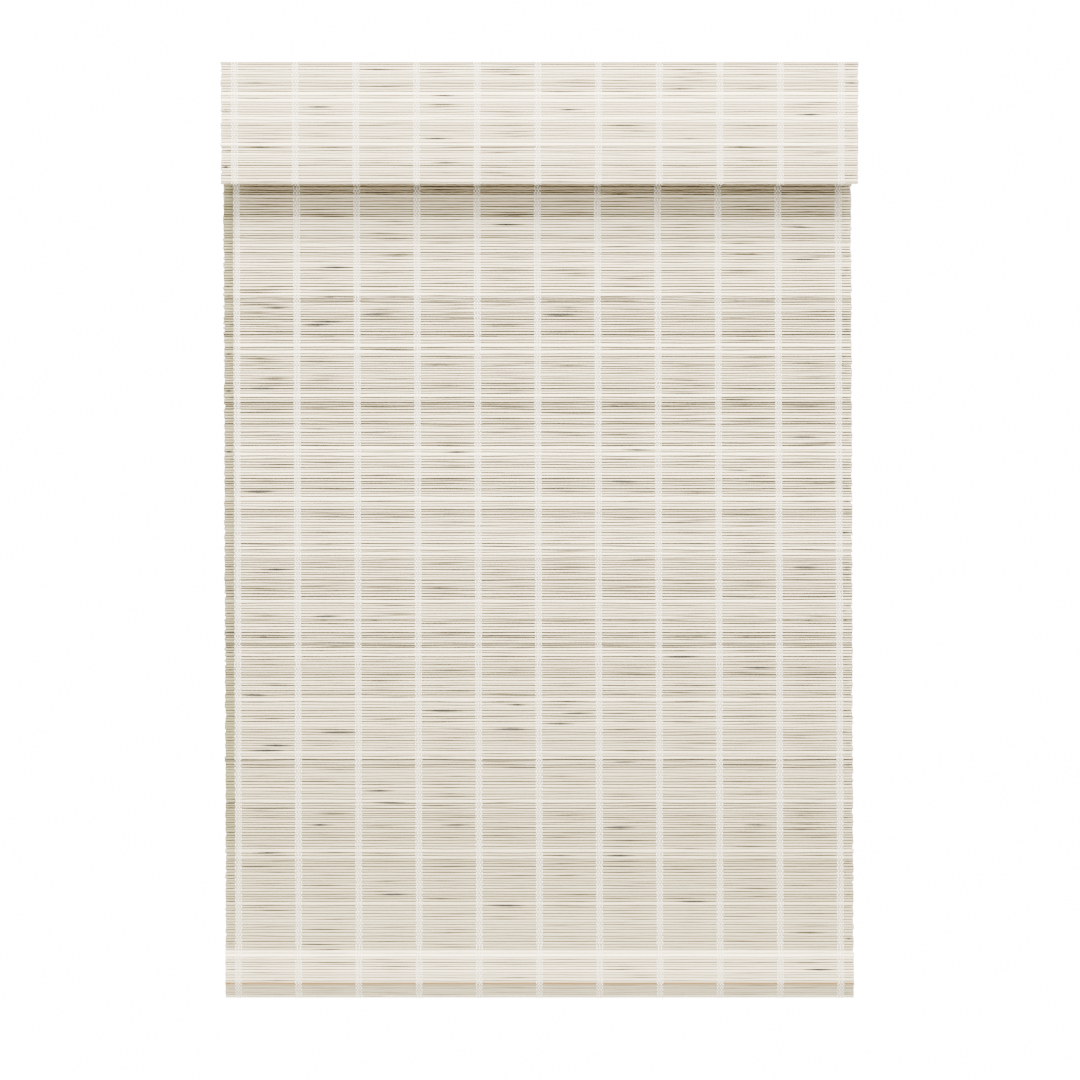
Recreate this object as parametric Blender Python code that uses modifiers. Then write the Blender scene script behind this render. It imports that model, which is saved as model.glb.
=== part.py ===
"""Woven-bamboo roller blind with a matching valance: a spring-assisted, cordless blind.

Frame, in metres: +X to the viewer's right, -Y to the front, +Z up. The wall is the plane y = 0, and the
origin is the centre of the head board's back face. The blind is modelled fully lowered.
"""

import math

import bmesh
import bpy
from mathutils import Matrix, Vector

# ---------------------------------------------------------------- driving dimensions
CLEARANCE = 0.0003  # between pieces that touch
CUTTER_REACH = 0.010  # how far a cutter runs past the faces that it opens
WELD_DISTANCE = 0.000005

FABRIC_WIDTH = 0.785
FABRIC_THICKNESS = 0.0018
TOTAL_DROP = 1.168  # from the board's top face to the lowest point of the hem

BOARD_DEPTH = 0.076
BOARD_THICKNESS = 0.012
BOARD_EDGE_ROUND = 0.0008

VALANCE_HEIGHT = 0.152
VALANCE_HEM_HEIGHT = 0.026
VALANCE_HEM_BEND = 0.0024
LATH_HEIGHT = 0.020
LATH_THICKNESS = 0.0030
LATH_END_GAP = 0.001  # lath's ends inside the valance's ends
HOOK_TAPE_HEIGHT = 0.010
HOOK_TAPE_THICKNESS = 0.0012
HEM_TAPE_THICKNESS = 0.0004
HEM_TAPE_HEIGHT = 0.010
TAPE_END_GAP = 0.004  # tape ends inside the ends of what they are on

TUBE_RADIUS = 0.019
TUBE_WALL = 0.0012
KEYWAY_WIDTH = 0.006
KEYWAY_DEPTH = 0.0030
SPLINE_END_GAP = 0.002
AXIS_SETBACK = 0.038  # roller axis in front of the wall
AXIS_DROP = 0.042  # roller axis below the board's underside
WRAP_LAYERS = 2  # layers of fabric left on the tube when the blind is down
CAP_FLANGE = 0.0015
CAP_DEPTH = 0.030
CAP_WEB = 0.004
END_GAP = 0.0010  # cap flange to bracket

CHEEK_THICKNESS = 0.0016
BRACKET_WIDTH = 0.058
BRACKET_FLANGE = 0.024
BRACKET_BELOW_AXIS = 0.016
BRACKET_CORNER = 0.012

SHAFT_RADIUS = 0.0040
SHAFT_LENGTH = 0.185
SPEAR_THICKNESS = 0.0024
SPEAR_REACH = 0.0020  # spear past the bracket's outer face
DRUM_RADIUS = 0.0090
DRUM_LENGTH = 0.018
DRUM_GAP = 0.002  # free space at each end of the drum
DRUM_PIN_RADIUS = 0.0010
BRAKE_WIRE_RADIUS = 0.00075
BRAKE_TURNS = 6
BRAKE_CAVITY_RADIUS = 0.0120
DRIVE_WIRE_RADIUS = 0.0009
DRIVE_COIL_RADIUS = 0.0075
DRIVE_TURNS = 20
DRIVE_SPRING_LENGTH = 0.112
DRIVE_SPRING_GAP = 0.004  # drive spring behind the motor cap
COIL_SEAT = 0.006  # length of the necks that the drive spring's ends sit on
ANCHOR_LENGTH = 0.014
CIRCLIP_RADIUS = 0.0062
CIRCLIP_THICKNESS = 0.0010

PIN_RADIUS = 0.0025
PIN_LENGTH = 0.026
PIN_TAIL_RADIUS = 0.00225
PIN_CHAMFER = 0.0010
PIN_REACH = 0.0008  # pin past the bracket's outer face
PIN_COLLAR_RADIUS = 0.0042
PIN_COLLAR_LENGTH = 0.003
PIN_SPRING_WIRE_RADIUS = 0.0004
PIN_SPRING_TURNS = 6
PIN_STOP_WALL = 0.006  # wall of the idle cap that the pin's collar rests against
RETAINER_THICKNESS = 0.0015
RETAINER_INSET = 0.0005

ANGLE_LEG = 0.040
ANGLE_WIDTH = 0.020
ANGLE_THICKNESS = 0.0025
ANGLE_BEND = 0.003
ANGLE_INNER_BEND = 0.001
ANGLE_SPACING = 0.600
ANGLE_HOLE_RADIUS = 0.0022
ANGLE_HOLE_INSET = 0.009
ANGLE_SCREW_SPACING = 0.011  # in the leg under the board
ANGLE_HOLE_SPACING = 0.013  # in the leg on the wall

SCREW_SHANK_RADIUS = 0.0017
SCREW_LENGTH = 0.0095
SCREW_POINT_LENGTH = 0.0030
SCREW_HEAD_RADIUS = 0.0036
SCREW_HEAD_HEIGHT = 0.0018
SCREW_INSET = 0.014
BRACKET_SCREW_OFFSET = 0.018
RECESS_WIDTH = 0.0008
RECESS_DEPTH = 0.0009

HEM_NECK = 0.005  # fabric above the bar, where it steps forward
BAR_HEIGHT = 0.0535
BAR_TOP_THICKNESS = 0.0128
BAR_NOSE_THICKNESS = 0.0166
BAR_NOSE_HEIGHT = 0.0195  # nose edge above the bar's lowest edge
BAR_CORNER = 0.0015
BAR_BACK_OFFSET = 0.0055  # bar's back face behind the fabric's middle plane
BAR_PEG_RADIUS = 0.0035
BAR_PEG_LENGTH = 0.010

# ---------------------------------------------------------------- places worked out from them
BOARD_TOP = BOARD_THICKNESS / 2
BOARD_UNDER = -BOARD_THICKNESS / 2
BOARD_LENGTH = FABRIC_WIDTH + 2 * (END_GAP + CHEEK_THICKNESS)
HEM_BOTTOM = BOARD_TOP - TOTAL_DROP

AXIS_Y = -AXIS_SETBACK
AXIS_Z = BOARD_UNDER - AXIS_DROP
TUBE_BORE = TUBE_RADIUS - TUBE_WALL
PLUG_RADIUS = TUBE_BORE - CLEARANCE
ROLL_INNER = TUBE_RADIUS + CLEARANCE
ROLL_OUTER = ROLL_INNER + WRAP_LAYERS * FABRIC_THICKNESS
LEFT_END = -FABRIC_WIDTH / 2
RIGHT_END = FABRIC_WIDTH / 2

PANEL_Y = AXIS_Y + ROLL_OUTER + CLEARANCE + FABRIC_THICKNESS / 2

BAR_BOTTOM = HEM_BOTTOM + FABRIC_THICKNESS + CLEARANCE
BAR_TOP = BAR_BOTTOM + BAR_HEIGHT
BAR_BACK = PANEL_Y + BAR_BACK_OFFSET
HEM_TOP = BAR_TOP + 2 * HEM_NECK

VALANCE_Y = -(BOARD_DEPTH + 2 * HOOK_TAPE_THICKNESS + 3 * CLEARANCE + FABRIC_THICKNESS / 2)
VALANCE_BOTTOM = BOARD_TOP - VALANCE_HEIGHT

SHAFT_START = LEFT_END - END_GAP - CHEEK_THICKNESS - SPEAR_REACH
CAP_INNER_FACE = LEFT_END + CAP_FLANGE + CAP_DEPTH
DRUM_START = LEFT_END + CAP_WEB + DRUM_GAP
DRIVE_START = CAP_INNER_FACE + DRIVE_SPRING_GAP
ANCHOR_START = DRIVE_START + DRIVE_SPRING_LENGTH + DRIVE_WIRE_RADIUS + CLEARANCE
COIL_SEAT_RADIUS = DRIVE_COIL_RADIUS - DRIVE_WIRE_RADIUS * 2
KEY_CUT_WIDTH = KEYWAY_WIDTH + 2 * (TUBE_WALL + CLEARANCE)
KEY_CUT_RADIUS = TUBE_RADIUS - KEYWAY_DEPTH - TUBE_WALL - CLEARANCE

AXIS = Vector((0, AXIS_Y, AXIS_Z))
SIDES = (("left", -1), ("right", 1))

# ---------------------------------------------------------------- scene, collections, materials
for old in list(bpy.data.objects):
    bpy.data.objects.remove(old)

blind = bpy.data.collections.new("roller_blind")
cutters = bpy.data.collections.new("cutters")
bpy.context.scene.collection.children.link(blind)
bpy.context.scene.collection.children.link(cutters)


def make_material(name, colour, roughness, metallic=0.0):
    made = bpy.data.materials.new(name)
    made.use_nodes = True
    shader = made.node_tree.nodes["Principled BSDF"]
    shader.inputs["Base Color"].default_value = (*colour, 1.0)
    shader.inputs["Roughness"].default_value = roughness
    shader.inputs["Metallic"].default_value = metallic
    return made


WHITEWASH = make_material("whitewashed_bamboo", (0.78, 0.74, 0.67), 0.75)
PAINTED_WOOD = make_material("painted_wood", (0.85, 0.84, 0.81), 0.5)
PLAIN_WOOD = make_material("plain_wood", (0.68, 0.52, 0.34), 0.65)
ALUMINIUM = make_material("aluminium", (0.75, 0.76, 0.77), 0.35, 1.0)
WHITE_STEEL = make_material("white_coated_steel", (0.86, 0.86, 0.84), 0.4)
ZINC = make_material("zinc_plated_steel", (0.72, 0.73, 0.74), 0.35, 1.0)
SPRING_STEEL = make_material("spring_steel", (0.45, 0.46, 0.48), 0.35, 1.0)
WHITE_PLASTIC = make_material("white_plastic", (0.84, 0.84, 0.82), 0.45)
GREY_PLASTIC = make_material("grey_plastic", (0.35, 0.36, 0.37), 0.5)
TAPE = make_material("tape", (0.82, 0.82, 0.80), 0.9)


# ---------------------------------------------------------------- modelling helpers
def place(obj, name, finish, collection=blind):
    """Names an object, gives it its material and moves it to a collection."""
    obj.name = name
    obj.data.name = name
    obj.data.materials.clear()
    if finish is not None:
        obj.data.materials.append(finish)
    for holder in list(obj.users_collection):
        holder.objects.unlink(obj)
    collection.objects.link(obj)
    return obj


def box(name, low, high, finish=None, collection=blind):
    """A cuboid between two corners."""
    low, high = Vector(low), Vector(high)
    bpy.ops.mesh.primitive_cube_add(size=1, location=(low + high) / 2)
    obj = bpy.context.object
    obj.data.transform(Matrix.Diagonal((*(high - low), 1)))
    return place(obj, name, finish, collection)


def along_x(obj):
    """Turns a shape made along Z so that its Z runs along +X."""
    obj.data.transform(Matrix.Rotation(math.pi / 2, 4, "Y"))
    return obj


def rod(name, radius, start, end, finish=None, collection=blind, sides=32, axis="X"):
    """A cylinder between two points that differ along one axis."""
    start, end = Vector(start), Vector(end)
    bpy.ops.mesh.primitive_cylinder_add(
        vertices=sides, radius=radius, depth=(end - start).length, location=(start + end) / 2
    )
    obj = bpy.context.object
    if axis == "X":
        along_x(obj)
    elif axis == "Y":
        obj.data.transform(Matrix.Rotation(math.pi / 2, 4, "X"))
    return place(obj, name, finish, collection)


def turned(name, profile, origin, finish, closed=True, steps=40):
    """A shape turned about a line along +X through origin. The profile lists (radius, distance along +X)
    from the far end to the near end down its outer side, and back up its inner side if it is closed."""
    mesh = bpy.data.meshes.new(name)
    points = [(radius, 0, along) for radius, along in profile]
    edges = [(i, i + 1) for i in range(len(points) - 1)]
    if closed:
        edges.append((len(points) - 1, 0))
    mesh.from_pydata(points, edges, [])
    obj = bpy.data.objects.new(name, mesh)
    place(obj, name, finish)
    screw = obj.modifiers.new("turn", "SCREW")
    screw.axis = "Z"
    screw.steps = screw.render_steps = steps
    screw.use_merge_vertices = True
    screw.merge_threshold = WELD_DISTANCE
    obj.rotation_euler = (0, math.pi / 2, 0)
    obj.location = origin
    return obj


def as_mesh(obj):
    """Replaces an object by its evaluated mesh, welded, with the same origin and turn."""
    bpy.context.view_layer.update()
    graph = bpy.context.evaluated_depsgraph_get()
    mesh = bpy.data.meshes.new_from_object(obj.evaluated_get(graph))
    shape = bmesh.new()
    shape.from_mesh(mesh)
    bmesh.ops.remove_doubles(shape, verts=shape.verts, dist=WELD_DISTANCE)
    shape.to_mesh(mesh)
    shape.free()
    name = obj.name
    finish = obj.data.materials[0] if obj.data.materials else None
    holder = obj.users_collection[0]
    matrix = obj.matrix_world.copy()
    bpy.data.objects.remove(obj)
    made = bpy.data.objects.new(name, mesh)
    made.matrix_world = matrix
    return place(made, name, finish, holder)


def outline(name, loops, low_x, high_x, finish, centre=(0, 0)):
    """Closed outlines in a YZ plane, lists of (y, z) about a centre, filled and made solid between two
    distances along X."""
    curve = bpy.data.curves.new(name, "CURVE")
    curve.dimensions = "2D"
    curve.fill_mode = "BOTH"
    curve.extrude = (high_x - low_x) / 2
    for loop in loops:
        spline = curve.splines.new("POLY")
        spline.points.add(len(loop) - 1)
        for point, (y, z) in zip(spline.points, loop):
            point.co = (y, z, 0, 1)
        spline.use_cyclic_u = True
    obj = bpy.data.objects.new(name, curve)
    place(obj, name, finish)
    # The curve's X, Y and Z become the model's Y, Z and X.
    turn = Matrix(((0, 0, 1), (1, 0, 0), (0, 1, 0))).to_4x4()
    obj.matrix_world = Matrix.Translation(((low_x + high_x) / 2, *centre)) @ turn
    return as_mesh(obj)


def rounded_path(corners, radius, steps=4):
    """The polyline through (y, z) corners with each inner corner turned into an arc of that radius."""
    points = [Vector(corners[0])]
    for before, corner, after in zip(corners, corners[1:], corners[2:]):
        before, corner, after = Vector(before), Vector(corner), Vector(after)
        back, on = (before - corner).normalized(), (after - corner).normalized()
        half = math.acos(max(-1.0, min(1.0, back.dot(on)))) / 2
        reach = radius / math.tan(half)
        centre = corner + (back + on).normalized() * (radius / math.sin(half))
        first, last = corner + back * reach - centre, corner + on * reach - centre
        sweep = first.angle_signed(last)
        for step in range(steps + 1):
            arm = first.copy()
            arm.rotate(Matrix.Rotation(-sweep * step / steps, 2))
            points.append(centre + arm)
    points.append(Vector(corners[-1]))
    return points


def rounded_loop(corners, radius):
    """A closed outline with every corner rounded."""
    return rounded_path([corners[-1], *corners, corners[0]], radius)[1:-1]


def moved_out(corners, distances):
    """A closed outline's corners after each side moves outwards. Distance i is for the side that starts
    at corner i. The outline runs clockwise as seen with Y to the right and Z up."""
    count = len(corners)
    points = [Vector(corner) for corner in corners]
    outwards = []
    for i in range(count):
        along = (points[(i + 1) % count] - points[i]).normalized()
        outwards.append(Vector((-along.y, along.x)))
    moved = []
    for i, point in enumerate(points):
        first, second = outwards[i - 1], outwards[i]
        reach, wanted = distances[i - 1], distances[i]
        scale = first.x * second.y - first.y * second.x
        step = Vector(
            (
                (reach * second.y - wanted * first.y) / scale,
                (wanted * first.x - reach * second.x) / scale,
            )
        )
        moved.append(point + step)
    return moved


def hung_strip(name, path, width, finish):
    """A strip of fabric that follows a path of (y, z) points and is as wide as the blind."""
    mesh = bpy.data.meshes.new(name)
    sides = [[(x, y, z) for y, z in path] for x in (-width / 2, width / 2)]
    count = len(path)
    faces = [(i, i + 1, count + i + 1, count + i) for i in range(count - 1)]
    mesh.from_pydata(sides[0] + sides[1], [], faces)
    obj = bpy.data.objects.new(name, mesh)
    place(obj, name, finish)
    solid = obj.modifiers.new("thickness", "SOLIDIFY")
    solid.thickness = FABRIC_THICKNESS
    solid.offset = 0
    solid.use_even_offset = True
    return obj


def coil(name, wire_radius, coil_radius, start_x, end_x, turns, finish, points_per_turn=10):
    """A spring wound round the roller's axis."""
    curve = bpy.data.curves.new(name, "CURVE")
    curve.dimensions = "3D"
    curve.bevel_depth = wire_radius
    curve.bevel_resolution = 1
    curve.use_fill_caps = True
    spline = curve.splines.new("POLY")
    count = turns * points_per_turn
    spline.points.add(count)
    for i, point in enumerate(spline.points):
        angle = 2 * math.pi * i / points_per_turn
        along = start_x + (end_x - start_x) * i / count
        point.co = (along, coil_radius * math.cos(angle), coil_radius * math.sin(angle), 1)
    obj = bpy.data.objects.new(name, curve)
    obj.location = AXIS
    return place(obj, name, finish)


def modify(obj, other, operation):
    """Cuts obj with another object, or joins it on, and keeps the result as obj's mesh."""
    step = obj.modifiers.new(operation.lower(), "BOOLEAN")
    step.operation = operation
    step.object = other
    step.solver = "EXACT"
    made = as_mesh(obj)
    bpy.data.objects.remove(other)
    return made


def cut(obj, other):
    return modify(obj, other, "DIFFERENCE")


def join(obj, other):
    return modify(obj, other, "UNION")


def smooth(obj, degrees=35):
    obj.data.shade_smooth()
    obj.data.set_sharp_from_angle(angle=math.radians(degrees))
    return obj


def mirrored_x(side, near, far):
    """The low and high X of a span that lies between two distances from the middle, on one side."""
    return sorted((side * near, side * far))


def point_on_axis(x):
    return Vector((x, AXIS_Y, AXIS_Z))


# ---------------------------------------------------------------- screws under the board
def bracket_screw_seats(side):
    x = side * (BOARD_LENGTH / 2 - SCREW_INSET)
    z = BOARD_UNDER - CLEARANCE - CHEEK_THICKNESS - CLEARANCE
    return [Vector((x, AXIS_Y + offset, z)) for offset in (-BRACKET_SCREW_OFFSET, BRACKET_SCREW_OFFSET)]


def angle_screw_seats(side):
    x = side * ANGLE_SPACING / 2
    z = BOARD_UNDER - CLEARANCE - ANGLE_THICKNESS - CLEARANCE
    front = ANGLE_HOLE_INSET - ANGLE_LEG
    return [Vector((x, y, z)) for y in (front, front + ANGLE_SCREW_SPACING)]


def screw_hole(seat):
    """A cutter for the hole that a screw passes on its way up into the board."""
    reach = Vector((0, 0, CUTTER_REACH))
    radius = SCREW_SHANK_RADIUS + CLEARANCE
    return rod("screw_hole", radius, seat - reach, seat + reach, None, cutters, sides=16, axis="Z")


def screw_shape():
    """A pan-head screw: head down, shank up, with the underside of its head at the origin."""
    profile = [
        (0, SCREW_LENGTH),
        (SCREW_SHANK_RADIUS * 0.5, SCREW_LENGTH - SCREW_POINT_LENGTH * 0.4),
        (SCREW_SHANK_RADIUS, SCREW_LENGTH - SCREW_POINT_LENGTH),
        (SCREW_SHANK_RADIUS, 0),
        (SCREW_HEAD_RADIUS, 0),
        (SCREW_HEAD_RADIUS * 0.97, -SCREW_HEAD_HEIGHT * 0.45),
        (SCREW_HEAD_RADIUS * 0.70, -SCREW_HEAD_HEIGHT * 0.85),
        (0, -SCREW_HEAD_HEIGHT),
    ]
    obj = turned("screw", profile, (0, 0, 0), ZINC, closed=False, steps=12)
    obj.rotation_euler = (0, 0, 0)
    arm, half = SCREW_HEAD_RADIUS * 0.55, RECESS_WIDTH / 2
    bottom, depth = -2 * SCREW_HEAD_HEIGHT, RECESS_DEPTH - SCREW_HEAD_HEIGHT
    across = box("recess", (-arm, -half, bottom), (arm, half, depth), None, cutters)
    along = box("recess", (-half, -arm, bottom), (half, arm, depth), None, cutters)
    return smooth(cut(cut(as_mesh(obj), across), along))


def make_screws():
    pattern = screw_shape()
    for label, side in SIDES:
        for kind, seats in (
            ("bracket_screw", bracket_screw_seats(side)),
            ("angle_screw", angle_screw_seats(side)),
        ):
            for place_name, seat in zip(("front", "rear"), seats):
                screw = bpy.data.objects.new(f"{kind}_{label}_{place_name}", pattern.data)
                screw.location = seat
                blind.objects.link(screw)
    bpy.data.objects.remove(pattern)


# ---------------------------------------------------------------- head board and valance
def make_head_board():
    board = box(
        "head_board",
        (-BOARD_LENGTH / 2, -BOARD_DEPTH, BOARD_UNDER),
        (BOARD_LENGTH / 2, 0, BOARD_TOP),
        PAINTED_WOOD,
    )
    edge = board.modifiers.new("edges", "BEVEL")
    edge.width = BOARD_EDGE_ROUND
    edge.segments = 2
    board = as_mesh(board)
    for side in (-1, 1):
        for seat in bracket_screw_seats(side) + angle_screw_seats(side):
            top = seat + Vector((0, 0, SCREW_LENGTH + 2 * CLEARANCE))
            radius = SCREW_SHANK_RADIUS + CLEARANCE
            hole = rod("pilot_hole", radius, seat, top, None, cutters, sides=16, axis="Z")
            board = cut(board, hole)
    return board


def make_valance():
    front = -BOARD_DEPTH - CLEARANCE
    for name in ("hook_tape", "loop_tape"):
        box(
            name,
            (-BOARD_LENGTH / 2 + TAPE_END_GAP, front - HOOK_TAPE_THICKNESS, -HOOK_TAPE_HEIGHT / 2),
            (BOARD_LENGTH / 2 - TAPE_END_GAP, front, HOOK_TAPE_HEIGHT / 2),
            TAPE,
        )
        front -= HOOK_TAPE_THICKNESS + CLEARANCE

    fold_depth = LATH_THICKNESS + HEM_TAPE_THICKNESS + 3 * CLEARANCE + FABRIC_THICKNESS
    low = VALANCE_BOTTOM + FABRIC_THICKNESS / 2
    corners = [
        (VALANCE_Y, BOARD_TOP),
        (VALANCE_Y, low),
        (VALANCE_Y + fold_depth, low),
        (VALANCE_Y + fold_depth, low + VALANCE_HEM_HEIGHT),
    ]
    hung_strip("valance_fabric", rounded_path(corners, VALANCE_HEM_BEND), BOARD_LENGTH, WHITEWASH)

    lath_front = VALANCE_Y + FABRIC_THICKNESS / 2 + CLEARANCE
    lath_bottom = low + VALANCE_HEM_BEND
    box(
        "valance_lath",
        (-BOARD_LENGTH / 2 + LATH_END_GAP, lath_front, lath_bottom),
        (BOARD_LENGTH / 2 - LATH_END_GAP, lath_front + LATH_THICKNESS, lath_bottom + LATH_HEIGHT),
        PLAIN_WOOD,
    )
    tape_front = lath_front + LATH_THICKNESS + CLEARANCE
    tape_low = lath_bottom + LATH_HEIGHT - HEM_TAPE_HEIGHT
    box(
        "valance_hem_tape",
        (-BOARD_LENGTH / 2 + TAPE_END_GAP, tape_front, tape_low),
        (BOARD_LENGTH / 2 - TAPE_END_GAP, tape_front + HEM_TAPE_THICKNESS, tape_low + HEM_TAPE_HEIGHT),
        TAPE,
    )


# ---------------------------------------------------------------- brackets that carry the roller
def make_bracket(name, side):
    """A bent steel plate: a cheek beside the roller's end and a flange under the board."""
    inner = FABRIC_WIDTH / 2 + END_GAP
    outer = inner + CHEEK_THICKNESS
    front, back = AXIS_Y - BRACKET_WIDTH / 2, AXIS_Y + BRACKET_WIDTH / 2
    top, bottom = BOARD_UNDER - CLEARANCE, AXIS_Z - BRACKET_BELOW_AXIS
    low_x, high_x = mirrored_x(side, inner, outer)
    cheek = box(name, (low_x, front, bottom), (high_x, back, top), WHITE_STEEL)
    shape = bmesh.new()
    shape.from_mesh(cheek.data)
    lower = [
        edge
        for edge in shape.edges
        if all(vert.co.z < 0 for vert in edge.verts) and edge.verts[0].co.y == edge.verts[1].co.y
    ]
    bmesh.ops.bevel(
        shape, geom=lower, offset=BRACKET_CORNER, segments=6, profile=0.5, affect="EDGES"
    )
    shape.to_mesh(cheek.data)
    shape.free()
    low_x, high_x = mirrored_x(side, outer - BRACKET_FLANGE, inner + CHEEK_THICKNESS / 2)
    flange = box(
        "flange", (low_x, front, top - CHEEK_THICKNESS), (high_x, back, top), None, cutters
    )
    bracket = join(as_mesh(cheek), flange)
    for seat in bracket_screw_seats(side):
        bracket = cut(bracket, screw_hole(seat))
    return bracket


def make_brackets():
    left = make_bracket("bracket_left", -1)
    half_slot = SPEAR_THICKNESS / 2 + CLEARANCE
    slot = box(
        "spear_slot",
        (LEFT_END - CUTTER_REACH, AXIS_Y - BRACKET_WIDTH, AXIS_Z - half_slot),
        (LEFT_END + CUTTER_REACH, AXIS_Y + SHAFT_RADIUS + CLEARANCE, AXIS_Z + half_slot),
        None,
        cutters,
    )
    cut(left, slot)

    right = make_bracket("bracket_right", 1)
    bore = rod(
        "pin_hole",
        PIN_RADIUS + CLEARANCE,
        point_on_axis(RIGHT_END - CUTTER_REACH),
        point_on_axis(RIGHT_END + CUTTER_REACH),
        None,
        cutters,
    )
    cut(right, bore)


# ---------------------------------------------------------------- angles that hold the board to a wall
def make_wall_angle(name, side):
    top = BOARD_UNDER - CLEARANCE
    leg, wall = ANGLE_LEG, ANGLE_THICKNESS
    outer = rounded_path([(-leg, top), (0, top), (0, top - leg)], ANGLE_BEND)
    inner = rounded_path(
        [(-wall, top - leg), (-wall, top - wall), (-leg, top - wall)], ANGLE_INNER_BEND
    )
    x = side * ANGLE_SPACING / 2
    angle = outline(name, [outer + inner], x - ANGLE_WIDTH / 2, x + ANGLE_WIDTH / 2, ZINC)
    for seat in angle_screw_seats(side):
        angle = cut(angle, screw_hole(seat))
    lower = top - leg + ANGLE_HOLE_INSET
    for height in (lower, lower + ANGLE_HOLE_SPACING):
        hole = rod(
            "wall_screw_hole",
            ANGLE_HOLE_RADIUS,
            (x, -2 * wall, height),
            (x, wall, height),
            None,
            cutters,
            sides=20,
            axis="Y",
        )
        angle = cut(angle, hole)
    return angle


def make_wall_angles():
    for label, side in SIDES:
        make_wall_angle("wall_angle_" + label, side)


# ---------------------------------------------------------------- roller
def tube_loop(radius, half_key, key_floor):
    """A circle about the roller's axis with a rectangular key pressed in at its top."""
    sides = 44
    start = math.asin(half_key / radius)
    sweep = 2 * math.pi - 2 * start
    loop = []
    for i in range(sides + 1):
        angle = start + sweep * i / sides
        loop.append((radius * math.sin(angle), radius * math.cos(angle)))
    loop.append((-half_key, key_floor))
    loop.append((half_key, key_floor))
    return loop


def make_tube():
    floor = TUBE_RADIUS - KEYWAY_DEPTH
    outer = tube_loop(TUBE_RADIUS, KEYWAY_WIDTH / 2, floor)
    inner = tube_loop(TUBE_BORE, KEYWAY_WIDTH / 2 + TUBE_WALL, floor - TUBE_WALL)
    start = LEFT_END + CAP_FLANGE + CLEARANCE
    smooth(outline("roller_tube", [outer, inner], start, -start, ALUMINIUM, (AXIS_Y, AXIS_Z)))

    # The spline fills the keyway and clamps the fabric's top edge.
    low = AXIS_Z + floor + CLEARANCE
    high = AXIS_Z + TUBE_RADIUS - 2 * CLEARANCE
    half = KEYWAY_WIDTH / 2 - CLEARANCE
    box(
        "fabric_spline",
        (start + SPLINE_END_GAP, AXIS_Y - half, low),
        (-start - SPLINE_END_GAP, AXIS_Y + half, high),
        WHITE_PLASTIC,
    )


def make_fabric_roll():
    profile = [
        (ROLL_OUTER, FABRIC_WIDTH),
        (ROLL_OUTER, 0),
        (ROLL_INNER, 0),
        (ROLL_INNER, FABRIC_WIDTH),
    ]
    smooth(as_mesh(turned("fabric_roll", profile, point_on_axis(LEFT_END), WHITEWASH)))


def key_cutter(low_x, high_x):
    """A cutter for the groove in a plug that the tube's keyway runs in."""
    return box(
        "key_groove",
        (low_x, AXIS_Y - KEY_CUT_WIDTH / 2, AXIS_Z + KEY_CUT_RADIUS),
        (high_x, AXIS_Y + KEY_CUT_WIDTH / 2, AXIS_Z + 2 * TUBE_RADIUS),
        None,
        cutters,
    )


def make_motor_end_cap():
    """The left plug, which turns with the tube: a flanged cup that holds the brake."""
    bore = SHAFT_RADIUS + CLEARANCE
    depth = CAP_FLANGE + CAP_DEPTH
    profile = [
        (PLUG_RADIUS, depth),
        (PLUG_RADIUS, CAP_FLANGE),
        (TUBE_RADIUS, CAP_FLANGE),
        (TUBE_RADIUS, 0),
        (bore, 0),
        (bore, CAP_WEB),
        (BRAKE_CAVITY_RADIUS, CAP_WEB),
        (BRAKE_CAVITY_RADIUS, depth),
    ]
    cap = as_mesh(turned("motor_end_cap", profile, point_on_axis(LEFT_END), GREY_PLASTIC))
    start = LEFT_END + CAP_FLANGE
    smooth(cut(cap, key_cutter(start, CAP_INNER_FACE + CUTTER_REACH)))


def drum_pin_rod(name, radius, half_length, finish=None, collection=cutters):
    """A rod that crosses the shaft at the middle of the brake drum."""
    x = DRUM_START + DRUM_LENGTH / 2
    low, high = (x, AXIS_Y, AXIS_Z - half_length), (x, AXIS_Y, AXIS_Z + half_length)
    return rod(name, radius, low, high, finish, collection, sides=12, axis="Z")


def make_shaft():
    """The shaft doesn't turn: its end is flattened to a spear that the left bracket holds."""
    end = SHAFT_START + SHAFT_LENGTH
    shaft = rod(
        "spring_shaft", SHAFT_RADIUS, point_on_axis(SHAFT_START), point_on_axis(end), ZINC, sides=24
    )
    flat_end = LEFT_END - CLEARANCE
    for side in (-1, 1):
        low_z, high_z = sorted((side * SPEAR_THICKNESS / 2, side * 2 * SHAFT_RADIUS))
        flat = box(
            "spear_flat",
            (SHAFT_START - CUTTER_REACH, AXIS_Y - CUTTER_REACH, AXIS_Z + low_z),
            (flat_end, AXIS_Y + CUTTER_REACH, AXIS_Z + high_z),
            None,
            cutters,
        )
        shaft = cut(shaft, flat)
    hole = drum_pin_rod("drum_pin_hole", DRUM_PIN_RADIUS + CLEARANCE, DRUM_RADIUS + CUTTER_REACH)
    smooth(cut(shaft, hole))


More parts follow.
